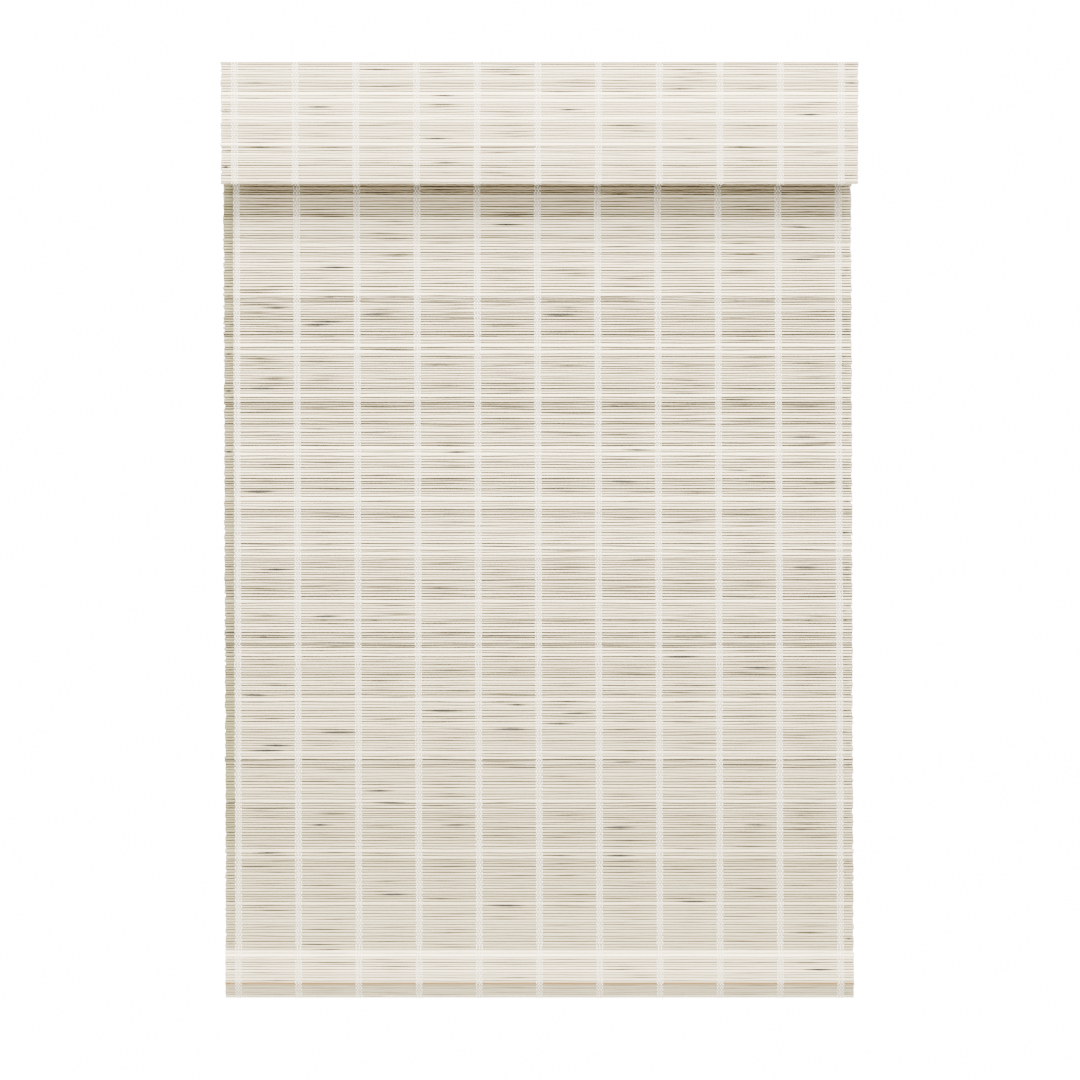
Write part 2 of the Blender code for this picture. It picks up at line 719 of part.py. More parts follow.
def make_brake():
    """A drum pinned to the shaft, and a wrap spring that grips it and turns with the cap."""
    bore = SHAFT_RADIUS + CLEARANCE
    profile = [
        (DRUM_RADIUS, DRUM_LENGTH),
        (DRUM_RADIUS, 0),
        (bore, 0),
        (bore, DRUM_LENGTH),
    ]
    drum = as_mesh(turned("brake_drum", profile, point_on_axis(DRUM_START), ZINC))
    hole = drum_pin_rod("drum_pin_hole", DRUM_PIN_RADIUS + CLEARANCE, DRUM_RADIUS + CUTTER_REACH)
    smooth(cut(drum, hole))
    smooth(drum_pin_rod("drum_pin", DRUM_PIN_RADIUS, DRUM_RADIUS - CLEARANCE, ZINC, blind))
    margin = 2 * BRAKE_WIRE_RADIUS
    coil(
        "brake_spring",
        BRAKE_WIRE_RADIUS,
        DRUM_RADIUS + BRAKE_WIRE_RADIUS + 3 * CLEARANCE,
        DRUM_START + margin,
        DRUM_START + DRUM_LENGTH - margin,
        BRAKE_TURNS,
        SPRING_STEEL,
        points_per_turn=12,
    )


def make_drive_spring():
    coil(
        "drive_spring",
        DRIVE_WIRE_RADIUS,
        DRIVE_COIL_RADIUS,
        DRIVE_START,
        DRIVE_START + DRIVE_SPRING_LENGTH,
        DRIVE_TURNS,
        SPRING_STEEL,
    )


def make_spring_collar():
    """The fixed end of the drive spring: a collar clamped on the shaft behind the brake."""
    bore = SHAFT_RADIUS + CLEARANCE
    start = DRUM_START + DRUM_LENGTH + DRUM_GAP
    length = DRIVE_START + COIL_SEAT - start
    shoulder = length - COIL_SEAT - DRIVE_WIRE_RADIUS - CLEARANCE
    profile = [
        (COIL_SEAT_RADIUS, length),
        (COIL_SEAT_RADIUS, shoulder),
        (DRUM_RADIUS, shoulder),
        (DRUM_RADIUS, 0),
        (bore, 0),
        (bore, length),
    ]
    smooth(as_mesh(turned("spring_collar", profile, point_on_axis(start), WHITE_PLASTIC)))


def make_spring_anchor():
    """The moving end of the drive spring: a plug that turns with the tube and rides on the shaft."""
    bore = SHAFT_RADIUS + CLEARANCE
    profile = [
        (PLUG_RADIUS, COIL_SEAT + ANCHOR_LENGTH),
        (PLUG_RADIUS, COIL_SEAT),
        (COIL_SEAT_RADIUS, COIL_SEAT),
        (COIL_SEAT_RADIUS, 0),
        (bore, 0),
        (bore, COIL_SEAT + ANCHOR_LENGTH),
    ]
    start = ANCHOR_START - COIL_SEAT
    anchor = as_mesh(turned("spring_anchor", profile, point_on_axis(start), GREY_PLASTIC))
    far_face = ANCHOR_START + ANCHOR_LENGTH
    smooth(cut(anchor, key_cutter(ANCHOR_START - CLEARANCE, far_face + CUTTER_REACH)))

    ring = far_face + CLEARANCE
    profile = [
        (CIRCLIP_RADIUS, CIRCLIP_THICKNESS),
        (CIRCLIP_RADIUS, 0),
        (bore, 0),
        (bore, CIRCLIP_THICKNESS),
    ]
    smooth(as_mesh(turned("shaft_clip", profile, point_on_axis(ring), SPRING_STEEL, steps=24)))


def make_idle_end():
    """The right plug with its sprung pin, which is pushed in to lift the roller out."""
    collar_bore = PIN_COLLAR_RADIUS + CLEARANCE
    depth = CAP_FLANGE + CAP_DEPTH
    profile = [
        (TUBE_RADIUS, depth),
        (TUBE_RADIUS, depth - CAP_FLANGE),
        (PLUG_RADIUS, depth - CAP_FLANGE),
        (PLUG_RADIUS, 0),
        (collar_bore, 0),
        (collar_bore, depth - PIN_STOP_WALL),
        (PIN_RADIUS + CLEARANCE, depth - PIN_STOP_WALL),
        (PIN_RADIUS + CLEARANCE, depth),
    ]
    start = RIGHT_END - depth
    cap = as_mesh(turned("idle_end_cap", profile, point_on_axis(start), GREY_PLASTIC))
    smooth(cut(cap, key_cutter(start - CUTTER_REACH, RIGHT_END - CAP_FLANGE)))

    tip = RIGHT_END + END_GAP + CHEEK_THICKNESS + PIN_REACH
    tail = tip - PIN_LENGTH
    collar_end = RIGHT_END - PIN_STOP_WALL - CLEARANCE - tail
    profile = [
        (0, PIN_LENGTH),
        (PIN_RADIUS * 0.7, PIN_LENGTH - PIN_CHAMFER * 0.2),
        (PIN_RADIUS, PIN_LENGTH - PIN_CHAMFER),
        (PIN_RADIUS, collar_end),
        (PIN_COLLAR_RADIUS, collar_end),
        (PIN_COLLAR_RADIUS, collar_end - PIN_COLLAR_LENGTH),
        (PIN_TAIL_RADIUS, collar_end - PIN_COLLAR_LENGTH),
        (PIN_TAIL_RADIUS, 0),
        (0, 0),
    ]
    pin = turned("idle_pin", profile, point_on_axis(tail), ZINC, closed=False, steps=24)
    smooth(as_mesh(pin))

    # The retainer closes the bore, with a hole that the pin's tail slides through.
    retainer_start = start + RETAINER_INSET
    profile = [
        (PIN_COLLAR_RADIUS, RETAINER_THICKNESS),
        (PIN_COLLAR_RADIUS, 0),
        (PIN_TAIL_RADIUS + CLEARANCE, 0),
        (PIN_TAIL_RADIUS + CLEARANCE, RETAINER_THICKNESS),
    ]
    retainer = turned("pin_retainer", profile, point_on_axis(retainer_start), ZINC, steps=24)
    smooth(as_mesh(retainer))

    wire = PIN_SPRING_WIRE_RADIUS
    coil(
        "idle_pin_spring",
        wire,
        PIN_COLLAR_RADIUS - wire - CLEARANCE,
        retainer_start + RETAINER_THICKNESS + wire + CLEARANCE,
        tail + collar_end - PIN_COLLAR_LENGTH - wire - CLEARANCE,
        PIN_SPRING_TURNS,
        SPRING_STEEL,
    )


# ---------------------------------------------------------------- fabric and bottom rail
def make_panel():
    box(
        "fabric_panel",
        (LEFT_END, PANEL_Y - FABRIC_THICKNESS / 2, HEM_TOP + CLEARANCE),
        (RIGHT_END, PANEL_Y + FABRIC_THICKNESS / 2, AXIS_Z),
        WHITEWASH,
    )


def bar_outline():
    """The bar's section: a slightly raked front face and an underside cut back from the nose."""
    return [
        (BAR_BACK, BAR_TOP),
        (BAR_BACK, BAR_BOTTOM),
        (BAR_BACK - BAR_NOSE_THICKNESS, BAR_BOTTOM + BAR_NOSE_HEIGHT),
        (BAR_BACK - BAR_TOP_THICKNESS, BAR_TOP),
    ]


def make_bottom_rail():
    section = rounded_loop(bar_outline(), BAR_CORNER)
    start = LEFT_END + CAP_FLANGE + CLEARANCE
    bar = outline("bottom_bar", [section], start, -start, PLAIN_WOOD)
    peg_y = BAR_BACK - BAR_TOP_THICKNESS / 2
    peg_z = (BAR_BOTTOM + BAR_NOSE_HEIGHT + BAR_TOP) / 2
    for label, side in SIDES:
        outer = side * FABRIC_WIDTH / 2
        inner = side * (FABRIC_WIDTH / 2 - CAP_FLANGE)
        tip = inner - side * BAR_PEG_LENGTH
        hole = rod(
            "peg_hole",
            BAR_PEG_RADIUS + CLEARANCE,
            (outer + side * CUTTER_REACH, peg_y, peg_z),
            (tip - side * CLEARANCE, peg_y, peg_z),
            None,
            cutters,
            sides=20,
        )
        bar = cut(bar, hole)
        cap = outline("bar_end_cap_" + label, [section], *sorted((outer, inner)), WHITE_PLASTIC)
        peg = rod(
            "peg",
            BAR_PEG_RADIUS,
            (outer - side * CAP_FLANGE / 2, peg_y, peg_z),
            (tip, peg_y, peg_z),
            None,
            cutters,
            sides=20,
        )
        join(cap, peg)

    # The hem: over the bar's top edge, down its front, round its nose and lower edge, and up its back.
    around = CLEARANCE + FABRIC_THICKNESS / 2
    behind = around + HEM_TAPE_THICKNESS + CLEARANCE
    _, low_back, nose, top_front = moved_out(bar_outline(), (behind, around, around, around))
    top_back = (low_back.x, BAR_TOP - HEM_NECK)
    corners = [(PANEL_Y, HEM_TOP), (PANEL_Y, BAR_TOP + HEM_NECK), top_front, nose, low_back, top_back]
    hung_strip("hem_wrap", rounded_path(corners, BAR_CORNER + around), FABRIC_WIDTH, WHITEWASH)

    tape_front = BAR_BACK + CLEARANCE
    box(
        "hem_tape",
        (LEFT_END + TAPE_END_GAP, tape_front, BAR_TOP - HEM_NECK - HEM_TAPE_HEIGHT),
        (RIGHT_END - TAPE_END_GAP, tape_front + HEM_TAPE_THICKNESS, BAR_TOP - HEM_NECK),
        TAPE,
    )


def hold(name, location, members):
    """Parents pieces to an empty, so that they move together from a point on their joint's axis."""
    holder = bpy.data.objects.new(name, None)
    holder.location = location
    holder.empty_display_size = 0.02
    blind.objects.link(holder)
    for member in members:
        piece = bpy.data.objects[member]
        piece.parent = holder
        piece.matrix_parent_inverse = Matrix.Translation(location).inverted()


make_head_board()
make_valance()
make_brackets()
make_wall_angles()
make_screws()
make_tube()
make_fabric_roll()
make_motor_end_cap()
make_shaft()
make_brake()
make_spring_collar()
make_drive_spring()
make_spring_anchor()
make_idle_end()
make_panel()
make_bottom_rail()

hold(
    "roller_axis",
    AXIS,
    (
        "roller_tube",
        "fabric_spline",
        "fabric_roll",
        "motor_end_cap",
        "brake_spring",
        "spring_anchor",
        "idle_end_cap",
        "pin_retainer",
        "idle_pin_spring",
    ),
)
hold("pin_slide", point_on_axis(RIGHT_END), ("idle_pin",))
hold(
    "rail_lift",
    Vector((0, PANEL_Y, HEM_TOP)),
    ("bottom_bar", "bar_end_cap_left", "bar_end_cap_right", "hem_wrap", "hem_tape"),
)
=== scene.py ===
"""The woven bamboo blind's looks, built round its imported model.

Metres, with X across the blind, Z up and the wall at y = 0. The blind's front faces -Y. A stretch of cloth
is described by its (y, z) path, and by distances measured down that path.
"""

import math

import bmesh
import bpy
import numpy as np
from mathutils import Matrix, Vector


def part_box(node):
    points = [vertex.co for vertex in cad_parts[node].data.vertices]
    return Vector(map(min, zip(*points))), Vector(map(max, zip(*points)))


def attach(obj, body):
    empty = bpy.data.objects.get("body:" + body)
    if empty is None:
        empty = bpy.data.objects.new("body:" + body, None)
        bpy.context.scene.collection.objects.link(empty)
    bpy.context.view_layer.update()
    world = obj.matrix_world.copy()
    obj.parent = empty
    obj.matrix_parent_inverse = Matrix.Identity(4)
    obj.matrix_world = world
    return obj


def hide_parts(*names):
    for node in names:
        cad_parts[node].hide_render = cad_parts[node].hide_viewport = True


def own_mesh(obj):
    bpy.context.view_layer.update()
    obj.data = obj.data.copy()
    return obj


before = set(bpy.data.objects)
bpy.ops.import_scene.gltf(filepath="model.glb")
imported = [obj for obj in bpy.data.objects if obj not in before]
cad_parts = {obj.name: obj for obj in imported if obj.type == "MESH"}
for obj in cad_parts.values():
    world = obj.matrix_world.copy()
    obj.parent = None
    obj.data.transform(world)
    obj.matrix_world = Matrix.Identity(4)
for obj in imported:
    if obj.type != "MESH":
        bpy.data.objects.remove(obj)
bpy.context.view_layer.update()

# ---------------------------------------------------------------- camera
# A long lens level with the middle of the blind and square to it, from so far away that the near and far
# pieces show at almost the same scale.
VIEWING_DISTANCE = 8.0
MIDDLE_OF_VIEW = (0.0005, -0.5869)

viewpoint = bpy.data.cameras.new("viewpoint")
viewpoint.sensor_width = 36.0
viewpoint.lens = 212.9
viewpoint.clip_end = 60.0
camera = bpy.data.objects.new("viewpoint", viewpoint)
camera.location = (MIDDLE_OF_VIEW[0], -VIEWING_DISTANCE, MIDDLE_OF_VIEW[1])
camera.rotation_euler = (math.pi / 2, 0, 0)
bpy.context.scene.collection.objects.link(camera)
bpy.context.scene.camera = camera

# ---------------------------------------------------------------- light
# White surroundings, with a warm fill, and three wide soft boxes: a strong one high in front, a weaker one
# in front to the left, and one behind.
FILL_COLOUR = (1.0, 0.93, 0.81, 1.0)
SOFT_BOX_COLOUR = (1.0, 0.93, 0.80)

surround = bpy.data.worlds.new("surround")
surround.use_nodes = True
sky = surround.node_tree
fill = sky.nodes["Background"]
fill.inputs["Color"].default_value = FILL_COLOUR
fill.inputs["Strength"].default_value = 0.34
backdrop = sky.nodes.new("ShaderNodeBackground")
backdrop.inputs["Color"].default_value = (1.0, 1.0, 1.0, 1.0)
backdrop.inputs["Strength"].default_value = 16.0
seen = sky.nodes.new("ShaderNodeLightPath")
either = sky.nodes.new("ShaderNodeMixShader")
sky.links.new(seen.outputs["Is Camera Ray"], either.inputs[0])
sky.links.new(fill.outputs[0], either.inputs[1])
sky.links.new(backdrop.outputs[0], either.inputs[2])
sky.links.new(either.outputs[0], sky.nodes["World Output"].inputs["Surface"])
bpy.context.scene.world = surround


def soft_box(name, place, target, size, power):
    """A square area light at a place, turned to face a target. Its turn about Z is the bearing of the
    target, and its tilt is the angle whose tangent is the fall to the target over the level distance."""
    lamp = bpy.data.lights.new(name, "AREA")
    lamp.shape = "SQUARE"
    lamp.size = size
    lamp.energy = power
    lamp.color = SOFT_BOX_COLOUR
    box = bpy.data.objects.new(name, lamp)
    bpy.context.scene.collection.objects.link(box)
    facing = np.array(target, float) - np.array(place, float)
    across = math.atan2(facing[0], -facing[1])
    down = math.atan2(-facing[2], math.hypot(facing[0], facing[1]))
    box.location = place
    box.rotation_euler = (math.pi / 2 - down, 0, across + math.pi)


soft_box("upper_soft_box", (0.3, -2.3, 2.1), (0, 0, -0.5), 1.8, 930)
soft_box("front_soft_box", (-0.9, -3.2, 0.75), (0, 0, -0.6), 1.7, 360)
soft_box("rear_soft_box", (-0.7, 3.0, 1.3), (0, 0, -0.6), 2.0, 380)


# ---------------------------------------------------------------- floor
# A plain pale round slab, well below the blind and narrow enough to stay out of the straight view. It only
# bounces light up, and holds nothing.
FLOOR_TOP = -1.62
FLOOR_RADIUS = 1.9
FLOOR_THICKNESS = 0.03
FLOOR_BEVEL = 0.01


def node(tree, kind, settings=None, **values):
    """Adds a shader node. Settings are the node's own properties, and values its inputs, where a value may
    be another node's output socket. An input's name has underscores for its spaces, or is n and a number."""
    made = tree.nodes.new("ShaderNode" + kind)
    for key, value in (settings or {}).items():
        setattr(made, key, value)
    for key, value in values.items():
        number = key[1:] if key[0] == "n" and key[1:].isdigit() else None
        socket = made.inputs[int(number)] if number else made.inputs[key.replace("_", " ")]
        if isinstance(value, bpy.types.NodeSocket):
            tree.links.new(value, socket)
        else:
            socket.default_value = value
    return made


def new_material(name):
    """An empty material: returns it, its node tree and its Principled shader."""
    made = bpy.data.materials.new(name)
    made.use_nodes = True
    return made, made.node_tree, made.node_tree.nodes["Principled BSDF"]


def ramp(tree, fac, stops):
    """A colour ramp through (position, (r, g, b)) stops."""
    made = tree.nodes.new("ShaderNodeValToRGB")
    elements = made.color_ramp.elements
    while len(elements) < len(stops):
        elements.new(0.5)
    for element, (position, colour) in zip(elements, stops):
        element.position = position
        element.color = (*colour, 1.0)
    tree.links.new(fac, made.inputs["Fac"])
    return made.outputs["Color"]


def grid_mesh(name, points, **attributes):
    """Closed tubes from an array of points shaped (tube, along, around, 3). Each ring joins the next by
    quads, and each tube's first and last rings are filled. Attributes are arrays of the same leading
    shape, or with three numbers to a point."""
    tubes, along, around, _ = points.shape
    index = np.arange(tubes * along * around).reshape(tubes, along, around)
    here, there = index[:, :-1], index[:, 1:]
    quads = np.stack(
        [here, np.roll(here, -1, axis=2), np.roll(there, -1, axis=2), there], axis=-1
    ).reshape(-1, 4)
    caps = np.concatenate([index[:, 0, ::-1], index[:, -1]])
    loops = np.concatenate([quads.ravel(), caps.ravel()])
    totals = np.concatenate([np.full(len(quads), 4), np.full(len(caps), around)])
    starts = np.concatenate([[0], np.cumsum(totals)[:-1]])
    mesh = bpy.data.meshes.new(name)
    mesh.vertices.add(index.size)
    mesh.vertices.foreach_set("co", points.astype(np.float32).ravel())
    mesh.loops.add(len(loops))
    mesh.loops.foreach_set("vertex_index", loops.astype(np.int32))
    mesh.polygons.add(len(totals))
    mesh.polygons.foreach_set("loop_start", starts.astype(np.int32))
    mesh.polygons.foreach_set("loop_total", totals.astype(np.int32))
    mesh.update(calc_edges=True)
    for key, values in attributes.items():
        vector = values.ndim == 4
        layer = mesh.attributes.new(key, "FLOAT_VECTOR" if vector else "FLOAT", "POINT")
        layer.data.foreach_set("vector" if vector else "value", values.astype(np.float32).ravel())
    made = bpy.data.objects.new(name, mesh)
    bpy.context.scene.collection.objects.link(made)
    return made


def make_floor():
    """A round slab with a bevelled rim: one ring of 128 points round its underside, one at the foot of the
    bevel and one round its top."""
    turn = np.linspace(0, 2 * math.pi, 128, endpoint=False)
    heights = (FLOOR_TOP - FLOOR_THICKNESS, FLOOR_TOP - FLOOR_BEVEL, FLOOR_TOP)
    radii = (FLOOR_RADIUS, FLOOR_RADIUS, FLOOR_RADIUS - FLOOR_BEVEL)
    rings = [
        np.column_stack([radius * np.cos(turn), radius * np.sin(turn), np.full(len(turn), height)])
        for radius, height in zip(radii, heights)
    ]
    return grid_mesh("floor", np.array([rings]))


floor = make_floor()
pale, tree, shader = new_material("pale_floor")
spot = node(tree, "TexCoord")
mottle = node(tree, "TexNoise", Vector=spot.outputs["Object"], Scale=3.0, Detail=3.0)
tree.links.new(
    ramp(tree, mottle.outputs["Fac"], [(0.3, (0.80, 0.80, 0.79)), (0.7, (0.84, 0.84, 0.83))]),
    shader.inputs["Base Color"],
)
shader.inputs["Roughness"].default_value = 0.7
floor.data.materials.append(pale)

# ---------------------------------------------------------------- wall angles and screws
# Two bent steel angles carry the head board on the wall. They are punched and then bright zinc plated, and
# so are their screws and those of the roller brackets, which go up into the board.


def wear_group():
    """Surface wear shared by the metals. Streaks are noise drawn out along X, blotches are plain noise, and
    both are centred on one half. The inputs say how many fit in a metre."""
    group = bpy.data.node_groups.new("metal_surface", "ShaderNodeTree")
    for name, value in (("Streak size", 900.0), ("Blotch size", 120.0)):
        made = group.interface.new_socket(name, in_out="INPUT", socket_type="NodeSocketFloat")
        made.default_value = value
    for name in ("Streaks", "Blotches"):
        group.interface.new_socket(name, in_out="OUTPUT", socket_type="NodeSocketFloat")
    given, out = group.nodes.new("NodeGroupInput"), group.nodes.new("NodeGroupOutput")
    spot = node(group, "TexCoord")
    drawn = node(group, "Mapping", Vector=spot.outputs["Object"], Scale=(0.03, 1.0, 1.0))
    streaks = node(group, "TexNoise", Vector=drawn.outputs[0], Scale=given.outputs[0], Detail=3.0)
    blotches = node(group, "TexNoise", Vector=spot.outputs["Object"], Scale=given.outputs[1], Detail=4.0)
    group.links.new(streaks.outputs["Fac"], out.inputs[0])
    group.links.new(blotches.outputs["Fac"], out.inputs[1])
    return group


metal_surface = wear_group()


def metal(name, dark, light, rough, metallic=1.0, streak=900.0, blotch=120.0, bump=0.05):
    """A metal or coated metal whose colour runs from dark to light by blotches, and whose roughness and
    bump follow its streaks."""
    made, tree, shader = new_material(name)
    wear = tree.nodes.new("ShaderNodeGroup")
    wear.node_tree = metal_surface
    wear.inputs["Streak size"].default_value = streak
    wear.inputs["Blotch size"].default_value = blotch
    tree.links.new(
        ramp(tree, wear.outputs["Blotches"], [(0.35, dark), (0.65, light)]), shader.inputs["Base Color"]
    )
    low, high = rough
    spread = node(
        tree, "MapRange", Value=wear.outputs["Streaks"], From_Min=0.3, From_Max=0.7, To_Min=low, To_Max=high
    )
    tree.links.new(spread.outputs["Result"], shader.inputs["Roughness"])
    relief = node(tree, "Bump", Height=wear.outputs["Streaks"], Strength=bump, Distance=0.0002)
    tree.links.new(relief.outputs["Normal"], shader.inputs["Normal"])
    shader.inputs["Metallic"].default_value = metallic
    return made


def finish_nodes(material, *names):
    """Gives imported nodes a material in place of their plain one."""
    for name in names:
        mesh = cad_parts[name].data
        mesh.materials.clear()
        mesh.materials.append(material)


zinc = metal("bright_zinc", (0.50, 0.51, 0.53), (0.66, 0.67, 0.67), (0.24, 0.40), blotch=260.0)
finish_nodes(zinc, "wall_angle_left", "wall_angle_right")
finish_nodes(zinc, *(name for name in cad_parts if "_screw_" in name))

# ---------------------------------------------------------------- head board
# A planed softwood board that carries the whole blind. It is primed and brushed white, with the grain just
# telling through the paint, and is screwed to the wall angles from below.


def grain_group():
    """Wood grain along X: rings are noise drawn out 25 times along the board, and pores are finer noise drawn
    out two and a half times as far again."""
    group = bpy.data.node_groups.new("wood_grain", "ShaderNodeTree")
    size_input = group.interface.new_socket("Size", in_out="INPUT", socket_type="NodeSocketFloat")
    size_input.default_value = 1.0
    for name in ("Rings", "Pores"):
        group.interface.new_socket(name, in_out="OUTPUT", socket_type="NodeSocketFloat")
    given, out = group.nodes.new("NodeGroupInput"), group.nodes.new("NodeGroupOutput")
    spot = node(group, "TexCoord")
    board = node(group, "Mapping", Vector=spot.outputs["Object"], Scale=(0.04, 1.0, 1.0))
    size = node(group, "VectorMath", {"operation": "SCALE"}, n0=board.outputs[0], Scale=given.outputs[0])
    rings = node(
        group, "TexNoise", Vector=size.outputs[0], Scale=170.0, Detail=4.0, Roughness=0.6, Distortion=0.6
    )
    fine = node(group, "Mapping", Vector=size.outputs[0], Scale=(0.4, 1.0, 1.0))
    pores = node(group, "TexNoise", Vector=fine.outputs[0], Scale=1500.0, Detail=2.0)
    group.links.new(rings.outputs["Fac"], out.inputs[0])
    group.links.new(pores.outputs["Fac"], out.inputs[1])
    return group


wood_grain = grain_group()


def timber(name, stops, rough, bump):
    """Wood whose colour follows its rings through the stops, with bump and roughness from its pores."""
    made, tree, shader = new_material(name)
    grain = tree.nodes.new("ShaderNodeGroup")
    grain.node_tree = wood_grain
    tree.links.new(ramp(tree, grain.outputs["Rings"], stops), shader.inputs["Base Color"])
    spread = node(tree, "MapRange", Value=grain.outputs["Pores"], To_Min=rough - 0.08, To_Max=rough + 0.1)
    tree.links.new(spread.outputs["Result"], shader.inputs["Roughness"])
    relief = node(tree, "Bump", Height=grain.outputs["Pores"], Strength=bump, Distance=0.0003)
    tree.links.new(relief.outputs["Normal"], shader.inputs["Normal"])
    return made


painted = timber(
    "brushed_white_paint",
    [(0.25, (0.74, 0.73, 0.70)), (0.5, (0.80, 0.79, 0.76)), (0.8, (0.83, 0.82, 0.80))],
    rough=0.42,
    bump=0.25,
)
finish_nodes(painted, "head_board")

# ---------------------------------------------------------------- roller brackets
# Two stamped steel plates, bent to a flange that is screwed up into the board. They have a white powder
# coat with a faint orange-peel surface. The left one holds the shaft, and the right one the sprung pin.
coated = metal(
    "white_powder_coat",
    dark=(0.78, 0.78, 0.76),
    light=(0.82, 0.82, 0.80),
    rough=(0.34, 0.46),
    metallic=0.0,
    streak=700.0,
    bump=0.12,
)
finish_nodes(coated, "bracket_left", "bracket_right")

# ---------------------------------------------------------------- sprung end of the roller
# A zinc plated shaft with the brake's drum, springs of oiled wire, and plugs moulded in nylon: grey where
# they turn with the tube, and white on the shaft. A sprung clip keeps them on the shaft.
oiled = metal("oiled_spring_steel", (0.16, 0.16, 0.17), (0.30, 0.30, 0.32), (0.22, 0.38), blotch=400.0)
finish_nodes(oiled, "drive_spring", "brake_spring", "shaft_clip")
finish_nodes(zinc, "spring_shaft", "brake_drum", "drum_pin")


def moulded(name, dark, light, rough):
    """A moulded plastic: broad noise gives the faint flow blotches of its colour, and fine noise gives the
    grain of its spark-eroded mould, in roughness and bump."""
    made, tree, shader = new_material(name)
    spot = node(tree, "TexCoord")
    flow = node(tree, "TexNoise", Vector=spot.outputs["Object"], Scale=90.0, Detail=2.0)
    grit = node(tree, "TexNoise", Vector=spot.outputs["Object"], Scale=2600.0, Detail=2.0)
    tree.links.new(
        ramp(tree, flow.outputs["Fac"], [(0.35, dark), (0.65, light)]), shader.inputs["Base Color"]
    )
    spread = node(tree, "MapRange", Value=grit.outputs["Fac"], To_Min=rough - 0.1, To_Max=rough + 0.1)
    tree.links.new(spread.outputs["Result"], shader.inputs["Roughness"])
    relief = node(tree, "Bump", Height=grit.outputs["Fac"], Strength=0.2, Distance=0.0002)
    tree.links.new(relief.outputs["Normal"], shader.inputs["Normal"])
    return made


grey_nylon = moulded("grey_nylon", (0.26, 0.27, 0.28), (0.31, 0.32, 0.33), rough=0.5)
white_nylon = moulded("white_nylon", (0.74, 0.73, 0.70), (0.79, 0.78, 0.75), rough=0.45)
finish_nodes(grey_nylon, "motor_end_cap", "spring_anchor")
finish_nodes(white_nylon, "spring_collar")

# ---------------------------------------------------------------- idle end of the roller
# A grey plug with a turned steel pin that a small spring pushes out into the bracket. A plated ring pressed
# into the plug keeps the spring in. The spring gets shorter as the pin is pressed.
CORNERS_JOIN_WITHIN = 0.000001

finish_nodes(grey_nylon, "idle_end_cap")
finish_nodes(zinc, "pin_retainer", "idle_pin")
finish_nodes(oiled, "idle_pin_spring")


def shrinking_spring(name, node_name, body):
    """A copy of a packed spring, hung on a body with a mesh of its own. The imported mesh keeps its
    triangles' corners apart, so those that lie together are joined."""
    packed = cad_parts[node_name]
    shape = bmesh.new()
    shape.from_mesh(packed.data)
    shape.transform(packed.matrix_world)
    bmesh.ops.remove_doubles(shape, verts=shape.verts, dist=CORNERS_JOIN_WITHIN)
    mesh = bpy.data.meshes.new(name)
    shape.to_mesh(mesh)
    shape.free()
    mesh.materials.clear()
    mesh.materials.append(oiled)
    made = bpy.data.objects.new(name, mesh)
    bpy.context.scene.collection.objects.link(made)
    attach(made, body)
    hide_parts(node_name)
    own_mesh(made)


shrinking_spring("pin_return_spring", "idle_pin_spring", "roller")

# ---------------------------------------------------------------- roller tube
# An extruded aluminium tube on the two plugs, with a keyway along it. A white strip pressed into the keyway
# clamps the end of the cloth.
extruded = metal("extruded_aluminium", (0.70, 0.71, 0.72), (0.80, 0.81, 0.82), (0.22, 0.42), streak=1600.0)
finish_nodes(extruded, "roller_tube")
finish_nodes(white_nylon, "fabric_spline")

# ---------------------------------------------------------------- cloth on the roller
# Split bamboo slats, whitewashed on both faces, bound by eleven bands of white cotton yarn. Two turns of
# the cloth stay on the tube when the blind is down, with the cloth's front face inwards.
CLOTH_HALF_WIDTH = 0.3925
CLOTH_THICKNESS = 0.0018
SLAT_WIDTH = 0.00325
SLAT_WIDTH_SPREAD = 0.12  # as a share of the width
SLAT_HALF_THICK = 0.00055
SLAT_END = 0.0008  # length of a slat's last stretch, which carries its ragged end
BRIGHT_SLAT_REPEAT = 0.061
BRIGHT_SLAT_WIDENING = 1.45
BAND_PITCH = 0.07525
BAND_HALF_WIDTH = 0.0046
YARN_PITCH = 0.00172
YARN_HALF_WIDTH = 0.00064
YARN_HALF_THICK = 0.00020
YARNS_IN_BAND = 5
MOST_SLATS_IN_PIECE = 120


def along_path(points, count=1200):
    """Samples a (y, z) polyline evenly and returns its length, and a function that gives the place, the
    direction and the front normal at distances along it. The direction is the place's rate of change, and
    the normal is the direction turned a quarter."""
    points = np.asarray(points, float)
    steps = np.concatenate([[0], np.cumsum(np.linalg.norm(np.diff(points, axis=0), axis=1))])
    even = np.linspace(0, steps[-1], count)
    place = np.column_stack([np.interp(even, steps, points[:, i]) for i in (0, 1)])
    slope = np.gradient(place, even, axis=0)

    def at(distance):
        centre = np.stack([np.interp(distance, even, place[:, i]) for i in (0, 1)], axis=-1)
        heading = np.stack([np.interp(distance, even, slope[:, i]) for i in (0, 1)], axis=-1)
        heading /= np.linalg.norm(heading, axis=-1, keepdims=True)
        return centre, heading, np.stack([heading[..., 1], -heading[..., 0]], axis=-1)

    return steps[-1], at


def chords(at, lines):
    """The straight span of each slat between its two joints: its middle, its direction and its normal."""
    ends = at(lines)[0]
    heading = ends[1:] - ends[:-1]
    heading = heading / np.linalg.norm(heading, axis=-1, keepdims=True)
    return (ends[:-1] + ends[1:]) / 2, heading, np.stack([heading[:, 1], -heading[:, 0]], axis=-1)


